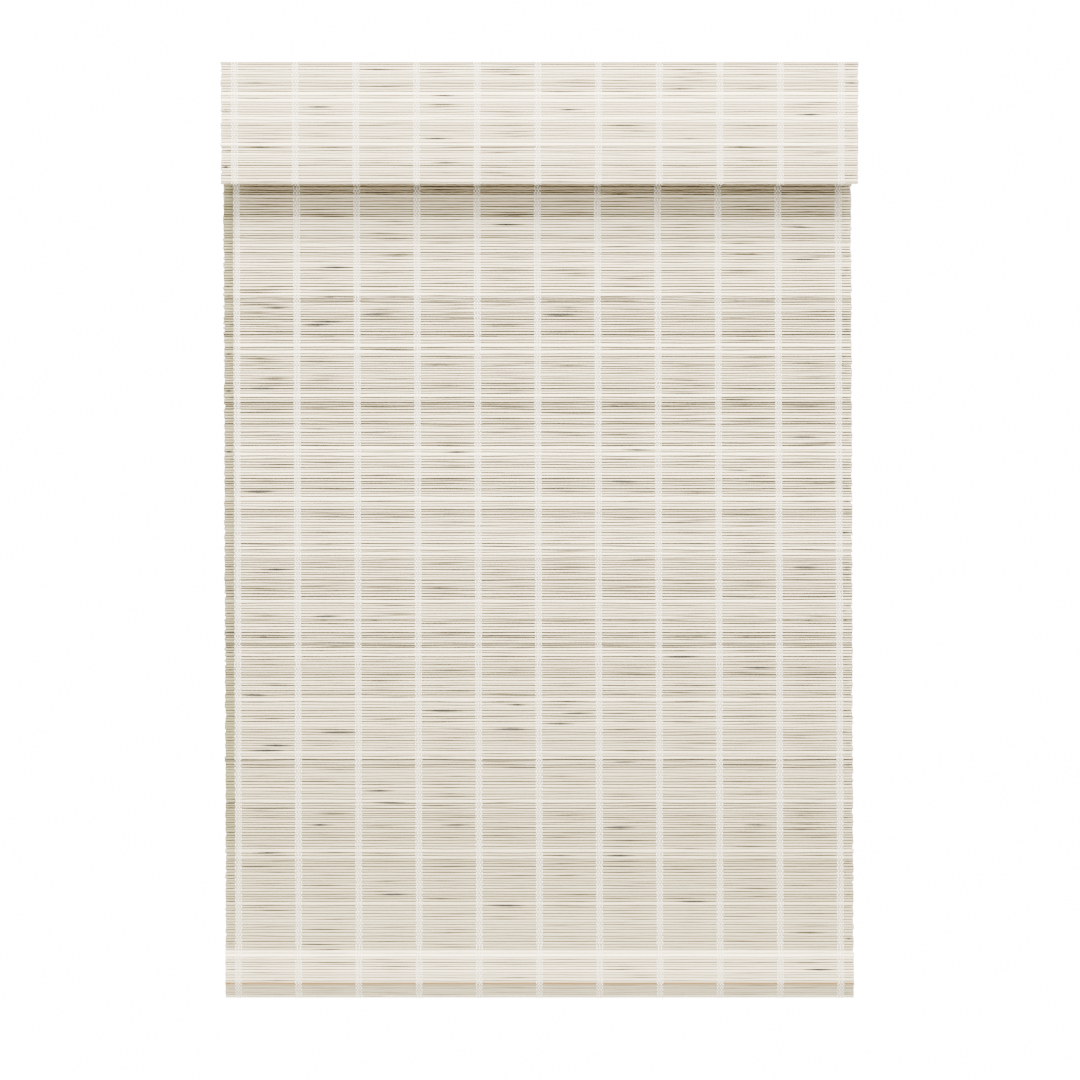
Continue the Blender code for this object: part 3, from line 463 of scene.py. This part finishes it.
def slat_lines(length, random, repeat_start, tone, tone_spread, creases):
    """Distances of the joints between slats, and each slat's brightness. A width is the usual one times e to
    a random power. The brightness is the (distance, tone) table's, plus noise that is partly each slat's own
    and partly shared by four in a row. At even spaces comes a wide bright slat, and every second time its
    neighbour but one is bright too. The joints nearest to the creases are moved onto them, and the slats
    between are stretched to suit."""
    enough = int(length / SLAT_WIDTH * 1.2) + 8
    widths = SLAT_WIDTH * np.exp(SLAT_WIDTH_SPREAD * random.standard_normal(enough))
    middles = np.cumsum(widths) - widths / 2
    wander = np.convolve(random.standard_normal(len(widths) + 3), np.full(4, 0.5), "valid")
    spread = tone_spread * (0.7 * random.standard_normal(len(widths)) + 0.7 * wander)
    tones = (np.interp(middles, *zip(*tone)) + spread).clip(0, 0.9)
    for turn in range(int(length / BRIGHT_SLAT_REPEAT) + 1):
        early = 0.004 * random.random()
        chosen = np.argmin(abs(middles - repeat_start - BRIGHT_SLAT_REPEAT * turn + early))
        bright = [chosen, chosen + 2] if turn % 2 == 0 else [chosen]
        for row in bright:
            widths[row] *= BRIGHT_SLAT_WIDENING
            tones[row] = 1.0
    lines = np.concatenate([[0], np.cumsum(widths)])
    rows = int(np.argmin(abs(lines - length)))
    lines = lines[: rows + 1] * length / lines[rows]
    nearest = [lines[np.argmin(abs(lines - crease))] for crease in creases]
    return np.interp(lines, [0, *nearest, length], [0, *creases, length]), tones[:rows]


def cloth_columns(half_width, bands):
    """Columns across the cloth: three at each band, five between bands, and three out to each edge, of which
    the last two bound a slat's ragged end."""
    inner = [
        np.linspace(left_band + BAND_HALF_WIDTH, right_band - BAND_HALF_WIDTH, 7)
        for left_band, right_band in zip(bands, bands[1:])
    ]
    ends = np.array([bands[0] - BAND_HALF_WIDTH, bands[-1] + BAND_HALF_WIDTH])
    left = [-half_width, SLAT_END - half_width, (ends[0] - half_width) / 2]
    right = [(ends[1] + half_width) / 2, half_width - SLAT_END, half_width]
    return np.unique(np.concatenate([left, right, ends, bands, *inner]))


def joint_openings(columns, bands, random, opening):
    """How wide each joint gapes at each column, and how much painted shade blackens it there. The even part
    is given for each joint, and varied by a quarter. Between each pair of bands comes a pointed lens (1 -
    |u|)^1.3 of random height, centre and half width, much higher in one joint of six. One joint in eighty
    also has a short slit there, 1 - |u| / 0.55, whose middle is painted black as shade, standing for the dark
    gap behind the cloth."""
    count = len(opening)
    edges = np.concatenate([[columns[0]], bands, [columns[-1]]])
    even = opening[:, None] * np.exp(0.25 * random.standard_normal((count, 1)))
    gape = even * np.ones((1, len(columns)))
    slit_shade = np.zeros(gape.shape)
    usual_height, extra_height, slit_height, band_side = 0.0002, (0.0003, 0.0008), 0.0011, 0.003
    for low, high in zip(edges, edges[1:]):
        span = high - low
        tall = random.random(count)
        height = random.exponential(usual_height, count)
        height += np.where((tall > 0.04) & (tall < 0.20), random.uniform(*extra_height, count), 0)
        centre = low + span * random.uniform(0.3, 0.7, count)
        half = span * random.uniform(0.35, 0.65, count)
        inside = (columns > low + band_side) & (columns < high - band_side)
        u = (columns[None, :] - centre[:, None]) / half[:, None]
        lens = height[:, None] * np.clip(1 - abs(u), 0, None) ** 1.3
        slit = np.where(tall < 0.012, 1.0, 0.0)[:, None] * np.clip(1 - abs(u) / 0.55, 0, None)
        gape += np.where(inside, lens + slit_height * slit, 0)
        slit_shade += np.where(inside, slit, 0)
    least, most = 0.0002, 0.0025
    return gape.clip(least, most), slit_shade.clip(0, 1)


def slat_sections(joints, gape, tilt):
    """Eight points round each slat at each column, as distances down the cloth and levels in front of its
    middle: the front edges, the feet of the side walls, the widest edges just behind the middle, and the
    back edges. The walls' feet stand half the opening from the joint, and the front edges a shoulder further
    in. The widest edges overlap the next slat's by a hair. The tilt raises the upper front edge and lowers
    the lower one."""
    above, below = joints[:-1], joints[1:]
    open_above, open_below = gape[:-1] / 2, gape[1:] / 2
    touch, back, shoulder = -0.00003, 0.0004, 0.0004
    distance = np.stack(
        [
            above + open_above + shoulder,
            below - open_below - shoulder,
            below - open_below,
            below - touch,
            below - touch - back,
            above + touch + back,
            above + touch,
            above + open_above,
        ],
        axis=-1,
    )
    thick = SLAT_HALF_THICK
    level = np.zeros(distance.shape)
    level[..., 0], level[..., 1] = thick + tilt, thick - tilt
    level[..., 2] = level[..., 7] = 0.4 * thick
    level[..., 3] = level[..., 6] = -0.35 * thick
    level[..., 4] = level[..., 5] = -thick
    return distance, level


def section_shade(gape, slit_shade):
    """How deep in a joint each of a slat's eight points lies, which sets its painted shade: 0 on the painted
    front edges, 0.3 at the walls' feet, and more where a slit is painted black as shade. At the widest edges
    it is 0.15 plus half the opening over half a millimetre, so wider joints are painted darker."""
    deep_above = np.clip(0.15 + gape[:-1] / 2 / 0.0005, 0, 1)
    deep_below = np.clip(0.15 + gape[1:] / 2 / 0.0005, 0, 1)
    shade = np.zeros((*deep_above.shape, 8))
    shade[..., 2], shade[..., 7] = 0.30 + 0.7 * slit_shade[1:], 0.30 + 0.7 * slit_shade[:-1]
    shade[..., 3], shade[..., 6] = deep_below, deep_above
    shade[..., 4] = shade[..., 5] = 0.04
    return shade


def weave_slats(name, at, lines, tones, half_width, bands, random, opening, bare=None, raw=None):
    """Slats laid along a path, each on the straight chord between its two joints. Joint r lies at lines[r]
    plus the sum of three small sine waves across the cloth. A slat is tipped a little, and its two ends are
    cut a little ragged, at random."""
    rows, columns = len(lines) - 1, cloth_columns(half_width, bands)
    gape, slit_shade = joint_openings(columns, bands, random, opening)
    waves = 0.00012 * sum(
        np.sin(2 * math.pi * columns[None, :] / length + random.uniform(0, 6.28, rows + 1)[:, None])
        for length in (0.31, 0.17, 0.083)
    )
    joints = lines[:, None] + waves
    joints[0], joints[-1] = lines[0], lines[-1]
    tilt = 0.00007 * random.standard_normal((rows, 1))
    distance, level = slat_sections(joints, gape, tilt)
    middle = (lines[:-1] + lines[1:]) / 2
    centre, heading, normal = chords(at, lines)
    offset = (distance - middle[:, None, None])[..., None]
    flat = centre[:, None, None] + offset * heading[:, None, None] + level[..., None] * normal[:, None, None]
    across = np.broadcast_to(columns[None, :], (rows, len(columns))).copy()
    across[:, :2] += (0.0005 * random.standard_normal((rows, 1))).clip(-SLAT_END, 0.0012)
    across[:, -2:] -= (0.0005 * random.standard_normal((rows, 1))).clip(-SLAT_END, 0.0012)
    across = np.broadcast_to(across[..., None], distance.shape)
    points = np.concatenate([across[..., None], flat], axis=-1)
    cut = np.zeros(distance.shape) if raw is None else raw(points)
    cut[:, 0] = cut[:, -1] = 1
    made = grid_mesh(
        name,
        points,
        cut=cut,
        shade=section_shade(gape, slit_shade),
        tone=np.broadcast_to(tones[:, None, None], distance.shape),
        cloth=np.stack([across, distance, level], axis=-1),
        bare=np.zeros(distance.shape) if bare is None else bare(points),
    )
    made.data.materials.append(whitewash)
    return made


def weave_yarns(name, at, lines, bands, random):
    """Bands of yarns in plain weave. A yarn passes in front of a slat where the slat's number plus the
    yarn's is even, and behind it otherwise, and crosses the cloth's middle at each joint. It sways across by
    a small sine of the distance. Its section is a flat diamond."""
    rows = len(lines) - 1
    yarns = len(bands) * YARNS_IN_BAND
    height = SLAT_HALF_THICK + 0.00019  # a hair less than half a yarn, so that it presses on the slat
    width = np.diff(lines)
    stations = np.stack([lines[:-1], lines[:-1] + 0.27 * width, lines[1:] - 0.27 * width], axis=-1).ravel()
    stations = np.concatenate([stations, lines[-1:]])
    number = np.arange(yarns)
    side = np.where((np.arange(rows)[None, :] + number[:, None]) % 2 == 0, height, -height)
    level = np.zeros((yarns, len(stations)))
    level[:, 1:-1:3], level[:, 2:-1:3] = side, side
    in_band = (np.arange(YARNS_IN_BAND) - YARNS_IN_BAND // 2) * YARN_PITCH
    x = np.repeat(bands, YARNS_IN_BAND) + np.tile(in_band, len(bands))
    sway = 0.00018 * np.sin(stations[None, :] / 0.021 + random.uniform(0, 6.28, (yarns, 1)))
    across = x[:, None] + sway
    centre, heading, normal = at(stations)
    ring = np.array([(1, 0), (0, 1), (-1, 0), (0, -1)]) * [YARN_HALF_WIDTH, YARN_HALF_THICK]
    lift = level[..., None] + ring[:, 1]
    flat = centre[None, :, None] + lift[..., None] * normal[None, :, None]
    wide = across[..., None] + ring[:, 0]
    points = np.concatenate([wide[..., None], flat], axis=-1)
    run = np.broadcast_to(stations[None, :, None], wide.shape)
    made = grid_mesh(name, points[:, :, ::-1], cloth=np.stack([wide, run, lift], axis=-1)[:, :, ::-1])
    made.data.materials.append(cotton)
    return made


# Olive bamboo under a thin wash. Mixed in by the bare attribute, it also serves as painted shade.
BARE_BAMBOO_AND_SHADE = (0.168, 0.172, 0.09, 1.0)
CUT_BAMBOO = (0.17, 0.10, 0.034, 1.0)


def bamboo_material():
    """Whitewash over bamboo. Its fibres are noise drawn out along the slats, once broad and once fine. The
    shade attribute runs from the painted face, through unpainted side walls, to a foot painted dark as shade.
    The tone attribute lightens or darkens a whole slat, bare mixes in olive bamboo, as a thinner wash in
    places and as painted shade in others, and cut shows raw bamboo."""
    made, tree, shader = new_material("whitewashed_bamboo")
    cloth = node(tree, "Attribute", {"attribute_name": "cloth"})
    shade = node(tree, "Attribute", {"attribute_name": "shade"}).outputs["Fac"]
    tone = node(tree, "Attribute", {"attribute_name": "tone"}).outputs["Fac"]
    bare = node(tree, "Attribute", {"attribute_name": "bare"}).outputs["Fac"]
    cut = node(tree, "Attribute", {"attribute_name": "cut"}).outputs["Fac"]
    drawn = node(tree, "Mapping", Vector=cloth.outputs["Vector"], Scale=(11.0, 1300.0, 600.0))
    strands = node(tree, "TexNoise", Vector=drawn.outputs[0], Scale=1.0, Detail=3.0, Roughness=0.6)
    fine_space = node(tree, "Mapping", Vector=cloth.outputs["Vector"], Scale=(38.0, 5200.0, 1500.0))
    fine = node(tree, "TexNoise", Vector=fine_space.outputs[0], Scale=1.0, Detail=2.0)
    centred = node(tree, "Math", {"operation": "SUBTRACT"}, n0=fine.outputs["Fac"], n1=0.5)
    fibres = node(
        tree,
        "Math",
        {"operation": "MULTIPLY_ADD"},
        n0=centred.outputs[0],
        n1=0.9,
        n2=strands.outputs["Fac"],
    ).outputs[0]
    patch_space = node(tree, "Mapping", Vector=cloth.outputs["Vector"], Scale=(24.0, 240.0, 1.0))
    patches = node(tree, "TexNoise", Vector=patch_space.outputs[0], Scale=1.0, Detail=2.0)
    face = ramp(
        tree,
        fibres,
        [(0.28, (0.68, 0.57, 0.39)), (0.42, (0.83, 0.75, 0.58)), (0.72, (0.89, 0.82, 0.66))],
    )
    wash = ramp(
        tree, tone, [(0.0, (0.52, 0.51, 0.49)), (0.5, (0.76, 0.76, 0.76)), (1.0, (1.0, 1.0, 1.02))]
    )
    toned = node(
        tree, "Mix", {"data_type": "RGBA", "blend_type": "MULTIPLY"}, Factor=1.0, n6=face, n7=wash
    ).outputs[2]
    thin = node(
        tree, "MapRange", Value=patches.outputs["Fac"], From_Min=0.56, From_Max=0.76, To_Min=0.0, To_Max=0.2
    ).outputs["Result"]
    thin_wash_and_shade = node(tree, "Math", {"operation": "ADD", "use_clamp": True}, n0=thin, n1=bare).outputs[0]
    worn_and_shaded = node(tree, "Mix", {"data_type": "RGBA"}, Factor=thin_wash_and_shade, n6=toned, n7=BARE_BAMBOO_AND_SHADE).outputs[2]
    # The wall ramp's tan end is the unpainted bamboo of the slats' sides. Its dark end is painted shade at
    # the foot of a joint, near black in wide joints and slits.
    wall = ramp(
        tree,
        shade,
        [
            (0.0, (0.50, 0.38, 0.21)),
            (0.3, (0.15, 0.12, 0.06)),
            (0.6, (0.045, 0.04, 0.025)),
            (1.0, (0.018, 0.019, 0.018)),
        ],
    )
    cover = node(
        tree, "MapRange", Value=shade, From_Min=0.02, From_Max=0.30, To_Min=0.0, To_Max=1.0
    ).outputs["Result"]
    painted_face = node(tree, "Mix", {"data_type": "RGBA"}, Factor=cover, n6=worn_and_shaded, n7=wall).outputs[2]
    colour = node(tree, "Mix", {"data_type": "RGBA"}, Factor=cut, n6=painted_face, n7=CUT_BAMBOO).outputs[2]
    tree.links.new(colour, shader.inputs["Base Color"])
    rough = node(tree, "MapRange", Value=fibres, To_Min=0.55, To_Max=0.8)
    tree.links.new(rough.outputs["Result"], shader.inputs["Roughness"])
    relief = node(tree, "Bump", Height=fibres, Strength=0.4, Distance=0.00015)
    tree.links.new(relief.outputs["Normal"], shader.inputs["Normal"])
    shader.inputs["Specular IOR Level"].default_value = 0.35
    return made


def cotton_material():
    """White spun cotton: slanting twist lines drawn by a wave across the yarn's run and width."""
    made, tree, shader = new_material("white_cotton")
    cloth = node(tree, "Attribute", {"attribute_name": "cloth"})
    turned = node(tree, "Mapping", Vector=cloth.outputs["Vector"], Scale=(2600.0, 2100.0, 0.0))
    twist = node(tree, "TexWave", Vector=turned.outputs[0], Scale=0.5, Distortion=1.2, Detail=2.0)
    tree.links.new(
        ramp(tree, twist.outputs["Fac"], [(0.0, (0.80, 0.78, 0.74)), (0.6, (0.93, 0.92, 0.89))]),
        shader.inputs["Base Color"],
    )
    relief = node(tree, "Bump", Height=twist.outputs["Fac"], Strength=0.35, Distance=0.00015)
    tree.links.new(relief.outputs["Normal"], shader.inputs["Normal"])
    shader.inputs["Roughness"].default_value = 0.85
    shader.inputs["Sheen Weight"].default_value = 0.25
    shader.inputs["Sheen Roughness"].default_value = 0.5
    return made


whitewash = bamboo_material()
cotton = cotton_material()
bands = BAND_PITCH * (np.arange(11) - 5.0)


def weave_cloth(
    name,
    path,
    seed,
    body,
    half_width=CLOTH_HALF_WIDTH,
    band_shift=0.0,
    repeat_start=0.02,
    opening=((0, 0.00135),),
    tone=((0, 0.6),),
    tone_spread=0.18,
    creases=(),
    bare=None,
    raw=None,
    reshape=None,
):
    """A stretch of woven cloth along a path, cut into pieces that an export can carry. Each piece is a pair
    of objects, its slats and its yarns, and rides on a body. The joints' opening and the slats' tone are
    tables of (distance along the cloth, value). The first bright slat lies at repeat_start. The functions
    bare and raw say from a place how much olive is mixed in, as thinner wash and as painted shade, and where
    raw bamboo shows, and reshape moves places.
    Returns the pairs with their lengths."""
    random = np.random.default_rng(seed)
    length, at = along_path(path)
    lines, tones = slat_lines(length, random, repeat_start, tone, tone_spread, creases)
    count = math.ceil(len(tones) / MOST_SLATS_IN_PIECE)
    cuts = np.linspace(0, len(tones), count + 1).astype(int)
    pairs = []
    for number, (first, last) in enumerate(zip(cuts, cuts[1:]), 1):
        part = f"{name}_{number}" if count > 1 else name
        span = lines[first : last + 1]
        shifted = bands + band_shift
        gapes = np.interp(span, *zip(*opening))
        slats = weave_slats(
            part + "_slats", at, span, tones[first:last], half_width, shifted, random, gapes, bare, raw
        )
        yarns = weave_yarns(part + "_yarns", at, span, shifted, random)
        for piece in (slats, yarns):
            if reshape:
                flat = np.empty(len(piece.data.vertices) * 3, np.float32)
                piece.data.vertices.foreach_get("co", flat)
                moved = reshape(flat.reshape(-1, 3)).astype(np.float32)
                piece.data.vertices.foreach_set("co", moved.ravel())
                piece.data.update()
            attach(piece, body)
        pairs.append((slats, yarns, span[-1] - span[0]))
    return pairs


roll_low, roll_high = (np.array(corner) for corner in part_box("fabric_roll"))
axis_y, axis_z = (roll_low[1] + roll_high[1]) / 2, (roll_low[2] + roll_high[2]) / 2
roll_radius = (roll_high[2] - roll_low[2]) / 2
# The middle of the cloth is a spiral from the tube outwards, whose reach from the axis grows by a little less
# than one thickness in each turn. It ends where the cloth leaves the roll and hangs down.
turns = np.linspace(4 * math.pi - 0.25, 0.03, 500)
reach = roll_radius - CLOTH_THICKNESS / 2 - CLOTH_THICKNESS * turns / (2 * math.pi) * 0.98
spiral = np.column_stack([axis_y + reach * np.cos(turns), axis_z + reach * np.sin(turns)])
for slats, yarns, length in weave_cloth("roll", spiral, 11, "roller"):
    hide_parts("fabric_roll")

# ---------------------------------------------------------------- hanging cloth
# The same cloth, hanging straight down from the back of the roll to the hem. Painted shade darkens it along
# the left edge and towards the hem, and a painted shadow darkens its slats under the valance.
LEFT_STRIP = 0.0145
LEAN = 0.003
panel_low, panel_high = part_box("fabric_panel")
panel_y = (panel_low[1] + panel_high[1]) / 2


def panel_tint_and_shade(points):
    """How much olive is mixed in: a little everywhere, and more as painted shade. In the strip at the left
    edge it rises with the square of the distance from the edge, and fades down the last part of the cloth.
    Everywhere it rises in proportion to the distance below the middle of the blind."""
    inward = np.clip((points[..., 0] + CLOTH_HALF_WIDTH) / LEFT_STRIP, 0, 1)
    height = np.clip((points[..., 2] + 1.06) / 0.14, 0.3, 1)
    low = np.clip((-0.60 - points[..., 2]) / 0.4, 0, 1)
    strip = np.where(inward < 1, 0.72 + 0.24 * inward**2, 0)
    return (strip * height + 0.06 + 0.38 * low).clip(0, 1)


def lean(points):
    """Slides the cloth to the left. The shift rises from nothing below the roller, with the square of the
    distance down, to its most at the valance's lower edge, and falls evenly to nothing at the hem."""
    down = -0.066 - points[:, 2]
    rise, fall = np.clip(down / 0.08, 0, 1) ** 2, np.clip((1.03 - down) / 0.95, 0, 1)
    points[:, 0] -= LEAN * rise * fall
    return points


hanging = weave_cloth(
    "panel",
    [(panel_y, panel_high[2]), (panel_y, panel_low[2])],
    23,
    "headrail",
    repeat_start=0.045,
    opening=((0.11, 0.0009), (0.15, 0.0011), (0.20, 0.0014), (0.65, 0.0014), (0.90, 0.00105), (1.03, 0.0008)),
    # The tone table's low start is a painted shadow under the valance, and its fall towards the hem is
    # painted shade.
    tone=((0.10, 0.10), (0.13, 0.55), (0.20, 0.62), (0.65, 0.60), (0.90, 0.38), (1.03, 0.18)),
    bare=panel_tint_and_shade,
    reshape=lean,
)
for slats, yarns, length in hanging:
    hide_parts("fabric_panel")
    for piece in (slats, yarns):
        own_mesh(piece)

# ---------------------------------------------------------------- bottom bar
# A planed pine bar that weighs the cloth down, with a white plug pressed into each end. The hem is closed
# behind it by a strip of woven tape.
pine = timber(
    "bare_pine",
    [(0.3, (0.42, 0.26, 0.12)), (0.5, (0.60, 0.42, 0.22)), (0.75, (0.68, 0.50, 0.29))],
    rough=0.6,
    bump=0.4,
)
finish_nodes(pine, "bottom_bar")
finish_nodes(white_nylon, "bar_end_cap_left", "bar_end_cap_right")


def tape_material():
    """Woven white tape: the product of a wave along X and a wave along Z gives its crossed threads."""
    made, tree, shader = new_material("woven_tape")
    spot = node(tree, "TexCoord")
    warp = node(tree, "TexWave", {"bands_direction": "X"}, Vector=spot.outputs["Object"], Scale=330.0)
    weft = node(tree, "TexWave", {"bands_direction": "Z"}, Vector=spot.outputs["Object"], Scale=330.0)
    threads = node(tree, "Math", {"operation": "MULTIPLY"}, n0=warp.outputs["Fac"], n1=weft.outputs["Fac"])
    tree.links.new(
        ramp(tree, threads.outputs[0], [(0.0, (0.66, 0.65, 0.62)), (0.6, (0.80, 0.79, 0.77))]),
        shader.inputs["Base Color"],
    )
    relief = node(tree, "Bump", Height=threads.outputs[0], Strength=0.5, Distance=0.0002)
    tree.links.new(relief.outputs["Normal"], shader.inputs["Normal"])
    shader.inputs["Roughness"].default_value = 0.9
    return made


woven_tape = tape_material()
finish_nodes(woven_tape, "hem_tape")

# ---------------------------------------------------------------- hem
# The cloth's lower end: it steps forward over the bar, goes down its front, round the nose, back along the
# raked underside and up behind, where the tape holds it. Raw bamboo shows on the nose, and painted shade
# darkens the underside below it.
BAR_HEIGHT, BAR_TOP_DEPTH, BAR_NOSE_DEPTH, BAR_NOSE_RISE = 0.0535, 0.0128, 0.0166, 0.0195
WRAP_REACH = 0.0012  # from the bar's faces to the middle of the cloth
HEM_BEND = 0.0027
UNDERSIDE_SLACK = 0.0007  # how much further the cloth stands off the bar's underside
HEM_NECK = 0.005  # above the bar, where the cloth steps forward
HEM_END = 0.005  # below the bar's top, where the cloth ends behind


def rounded(corners, radius, steps=8):
    """A (y, z) polyline with its inner corners turned into arcs that touch both sides: an arc's centre is on
    the corner's bisector, at the radius over the sine of half the angle."""
    corners = [np.array(corner, float) for corner in corners]
    points = [corners[0]]
    for before, corner, after in zip(corners, corners[1:], corners[2:]):
        back = (before - corner) / np.linalg.norm(before - corner)
        on = (after - corner) / np.linalg.norm(after - corner)
        half = math.acos(np.clip(back @ on, -1, 1)) / 2
        middle = back + on
        centre = corner + middle / np.linalg.norm(middle) * radius / math.sin(half)
        reach = radius / math.tan(half)
        first, last = corner + back * reach - centre, corner + on * reach - centre
        for share in np.linspace(0, 1, steps + 1):
            arm = first * (1 - share) + last * share
            points.append(centre + arm / np.linalg.norm(arm) * radius)
    points.append(corners[-1])
    return points


def moved_out(corners, reaches):
    """A closed (y, z) outline with each side moved outwards by its own reach: each new corner is the meeting
    point of its two moved sides. Side i runs from corner i to the next, with its outer face on its right."""
    corners = np.asarray(corners, float)
    along = np.roll(corners, -1, axis=0) - corners
    along /= np.linalg.norm(along, axis=1, keepdims=True)
    outward = np.column_stack([along[:, 1], -along[:, 0]])
    level = (outward * corners).sum(axis=1) + np.asarray(reaches)
    return [
        np.linalg.solve(np.array([outward[i - 1], outward[i]]), np.array([level[i - 1], level[i]]))
        for i in range(len(corners))
    ]


_, back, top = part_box("bottom_bar")[1]
bottom = top - BAR_HEIGHT
bar_outline = [
    (back - BAR_TOP_DEPTH, top),
    (back - BAR_NOSE_DEPTH, bottom + BAR_NOSE_RISE),
    (back, bottom),
    (back, top),
]
side_reaches = [WRAP_REACH, WRAP_REACH, WRAP_REACH + UNDERSIDE_SLACK, WRAP_REACH]
top_front, nose, low_back, _ = moved_out(bar_outline, side_reaches)
hem_top = panel_low[2] + 0.00003  # a hair above the hanging cloth's lower edge
hem_path = rounded(
    [
        (panel_y, hem_top),
        (panel_y, top + HEM_NECK),
        top_front,
        nose,
        low_back,
        (low_back[0], top - HEM_END),
    ],
    HEM_BEND,
)
hem_bottom = min(point[1] for point in hem_path)
hem_run = np.concatenate([[0], np.cumsum(np.linalg.norm(np.diff(hem_path, axis=0), axis=1))])
nose_run, low_run = (
    hem_run[np.argmin(np.linalg.norm(np.array(hem_path) - corner, axis=1))] for corner in (nose, low_back)
)


def hem_wash_and_shade(points):
    """How much olive is mixed in: much above the step, as painted shade like the cloth above, not at all on
    the step, and a little down the front. Below the nose it is painted shade, darkest just under the nose and
    fading by an exponential of the depth."""
    height = points[..., 2]
    front = np.where(height > top - 0.0045, 0.0, 0.26)
    above = np.where(height > top + 0.0048, 0.5, front)
    under = 0.42 + 0.26 * np.exp((height - nose[1]) / 0.004)
    return np.where((height < nose[1] - 0.0006) & (points[..., 1] < back), under, above)


def hem_raw(points):
    """Where raw bamboo shows: within 1.5 mm of the nose, and less strongly along the lowest corner."""
    near_nose = np.hypot(points[..., 1] - nose[0], points[..., 2] - nose[1]) < 0.0015
    near_low = points[..., 2] < hem_bottom + 0.0006
    return np.where(near_nose, 1.0, 0.8 * near_low)


for slats, yarns, length in weave_cloth(
    "hem",
    hem_path,
    37,
    "bottom_rail",
    repeat_start=0.0085,
    opening=((0, 0.0006),),
    creases=(nose_run, low_run),
    bare=hem_wash_and_shade,
    raw=hem_raw,
):
    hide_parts("hem_wrap")

# ---------------------------------------------------------------- valance
# A short separate length of the same cloth, a little wider, which a loop tape holds to the hook tape on the
# board's front edge. Its lower end is folded back round a thin pine lath, and closed with woven tape.
VALANCE_HALF_WIDTH = 0.3951
VALANCE_BAND_SHIFT = -0.0022
VALANCE_FOLD_HEIGHT = 0.026
VALANCE_BEND = 0.0024

finish_nodes(pine, "valance_lath")
finish_nodes(woven_tape, "hook_tape", "loop_tape", "valance_hem_tape")
valance_low, valance_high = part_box("valance_fabric")
front_y = valance_low[1] + CLOTH_THICKNESS / 2
fold_y = valance_high[1] - CLOTH_THICKNESS / 2
fold_z = valance_low[2] + CLOTH_THICKNESS / 2
fold = rounded(
    [
        (front_y, valance_high[2]),
        (front_y, fold_z),
        (fold_y, fold_z),
        (fold_y, fold_z + VALANCE_FOLD_HEIGHT),
    ],
    VALANCE_BEND,
)


def valance_top_darkening(points):
    """How much olive is mixed in, darkening the top: a little near the top, rising evenly from 20 mm to 10 mm
    below the upper edge.
    """
    return 0.10 * np.clip((points[..., 2] + 0.014) / 0.01, 0, 1)


def valance_raw(points):
    """Where raw bamboo shows: on the last 1.2 mm below the cut upper edge."""
    return 0.8 * (points[..., 2] > 0.0048)


for slats, yarns, length in weave_cloth(
    "valance",
    fold,
    53,
    "headrail",
    half_width=VALANCE_HALF_WIDTH,
    band_shift=VALANCE_BAND_SHIFT,
    repeat_start=0.040,
    opening=((0, 0.00075),),
    tone=((0, 0.14), (0.02, 0.24)),
    tone_spread=0.38,
    bare=valance_top_darkening,
    raw=valance_raw,
):
    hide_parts("valance_fabric")
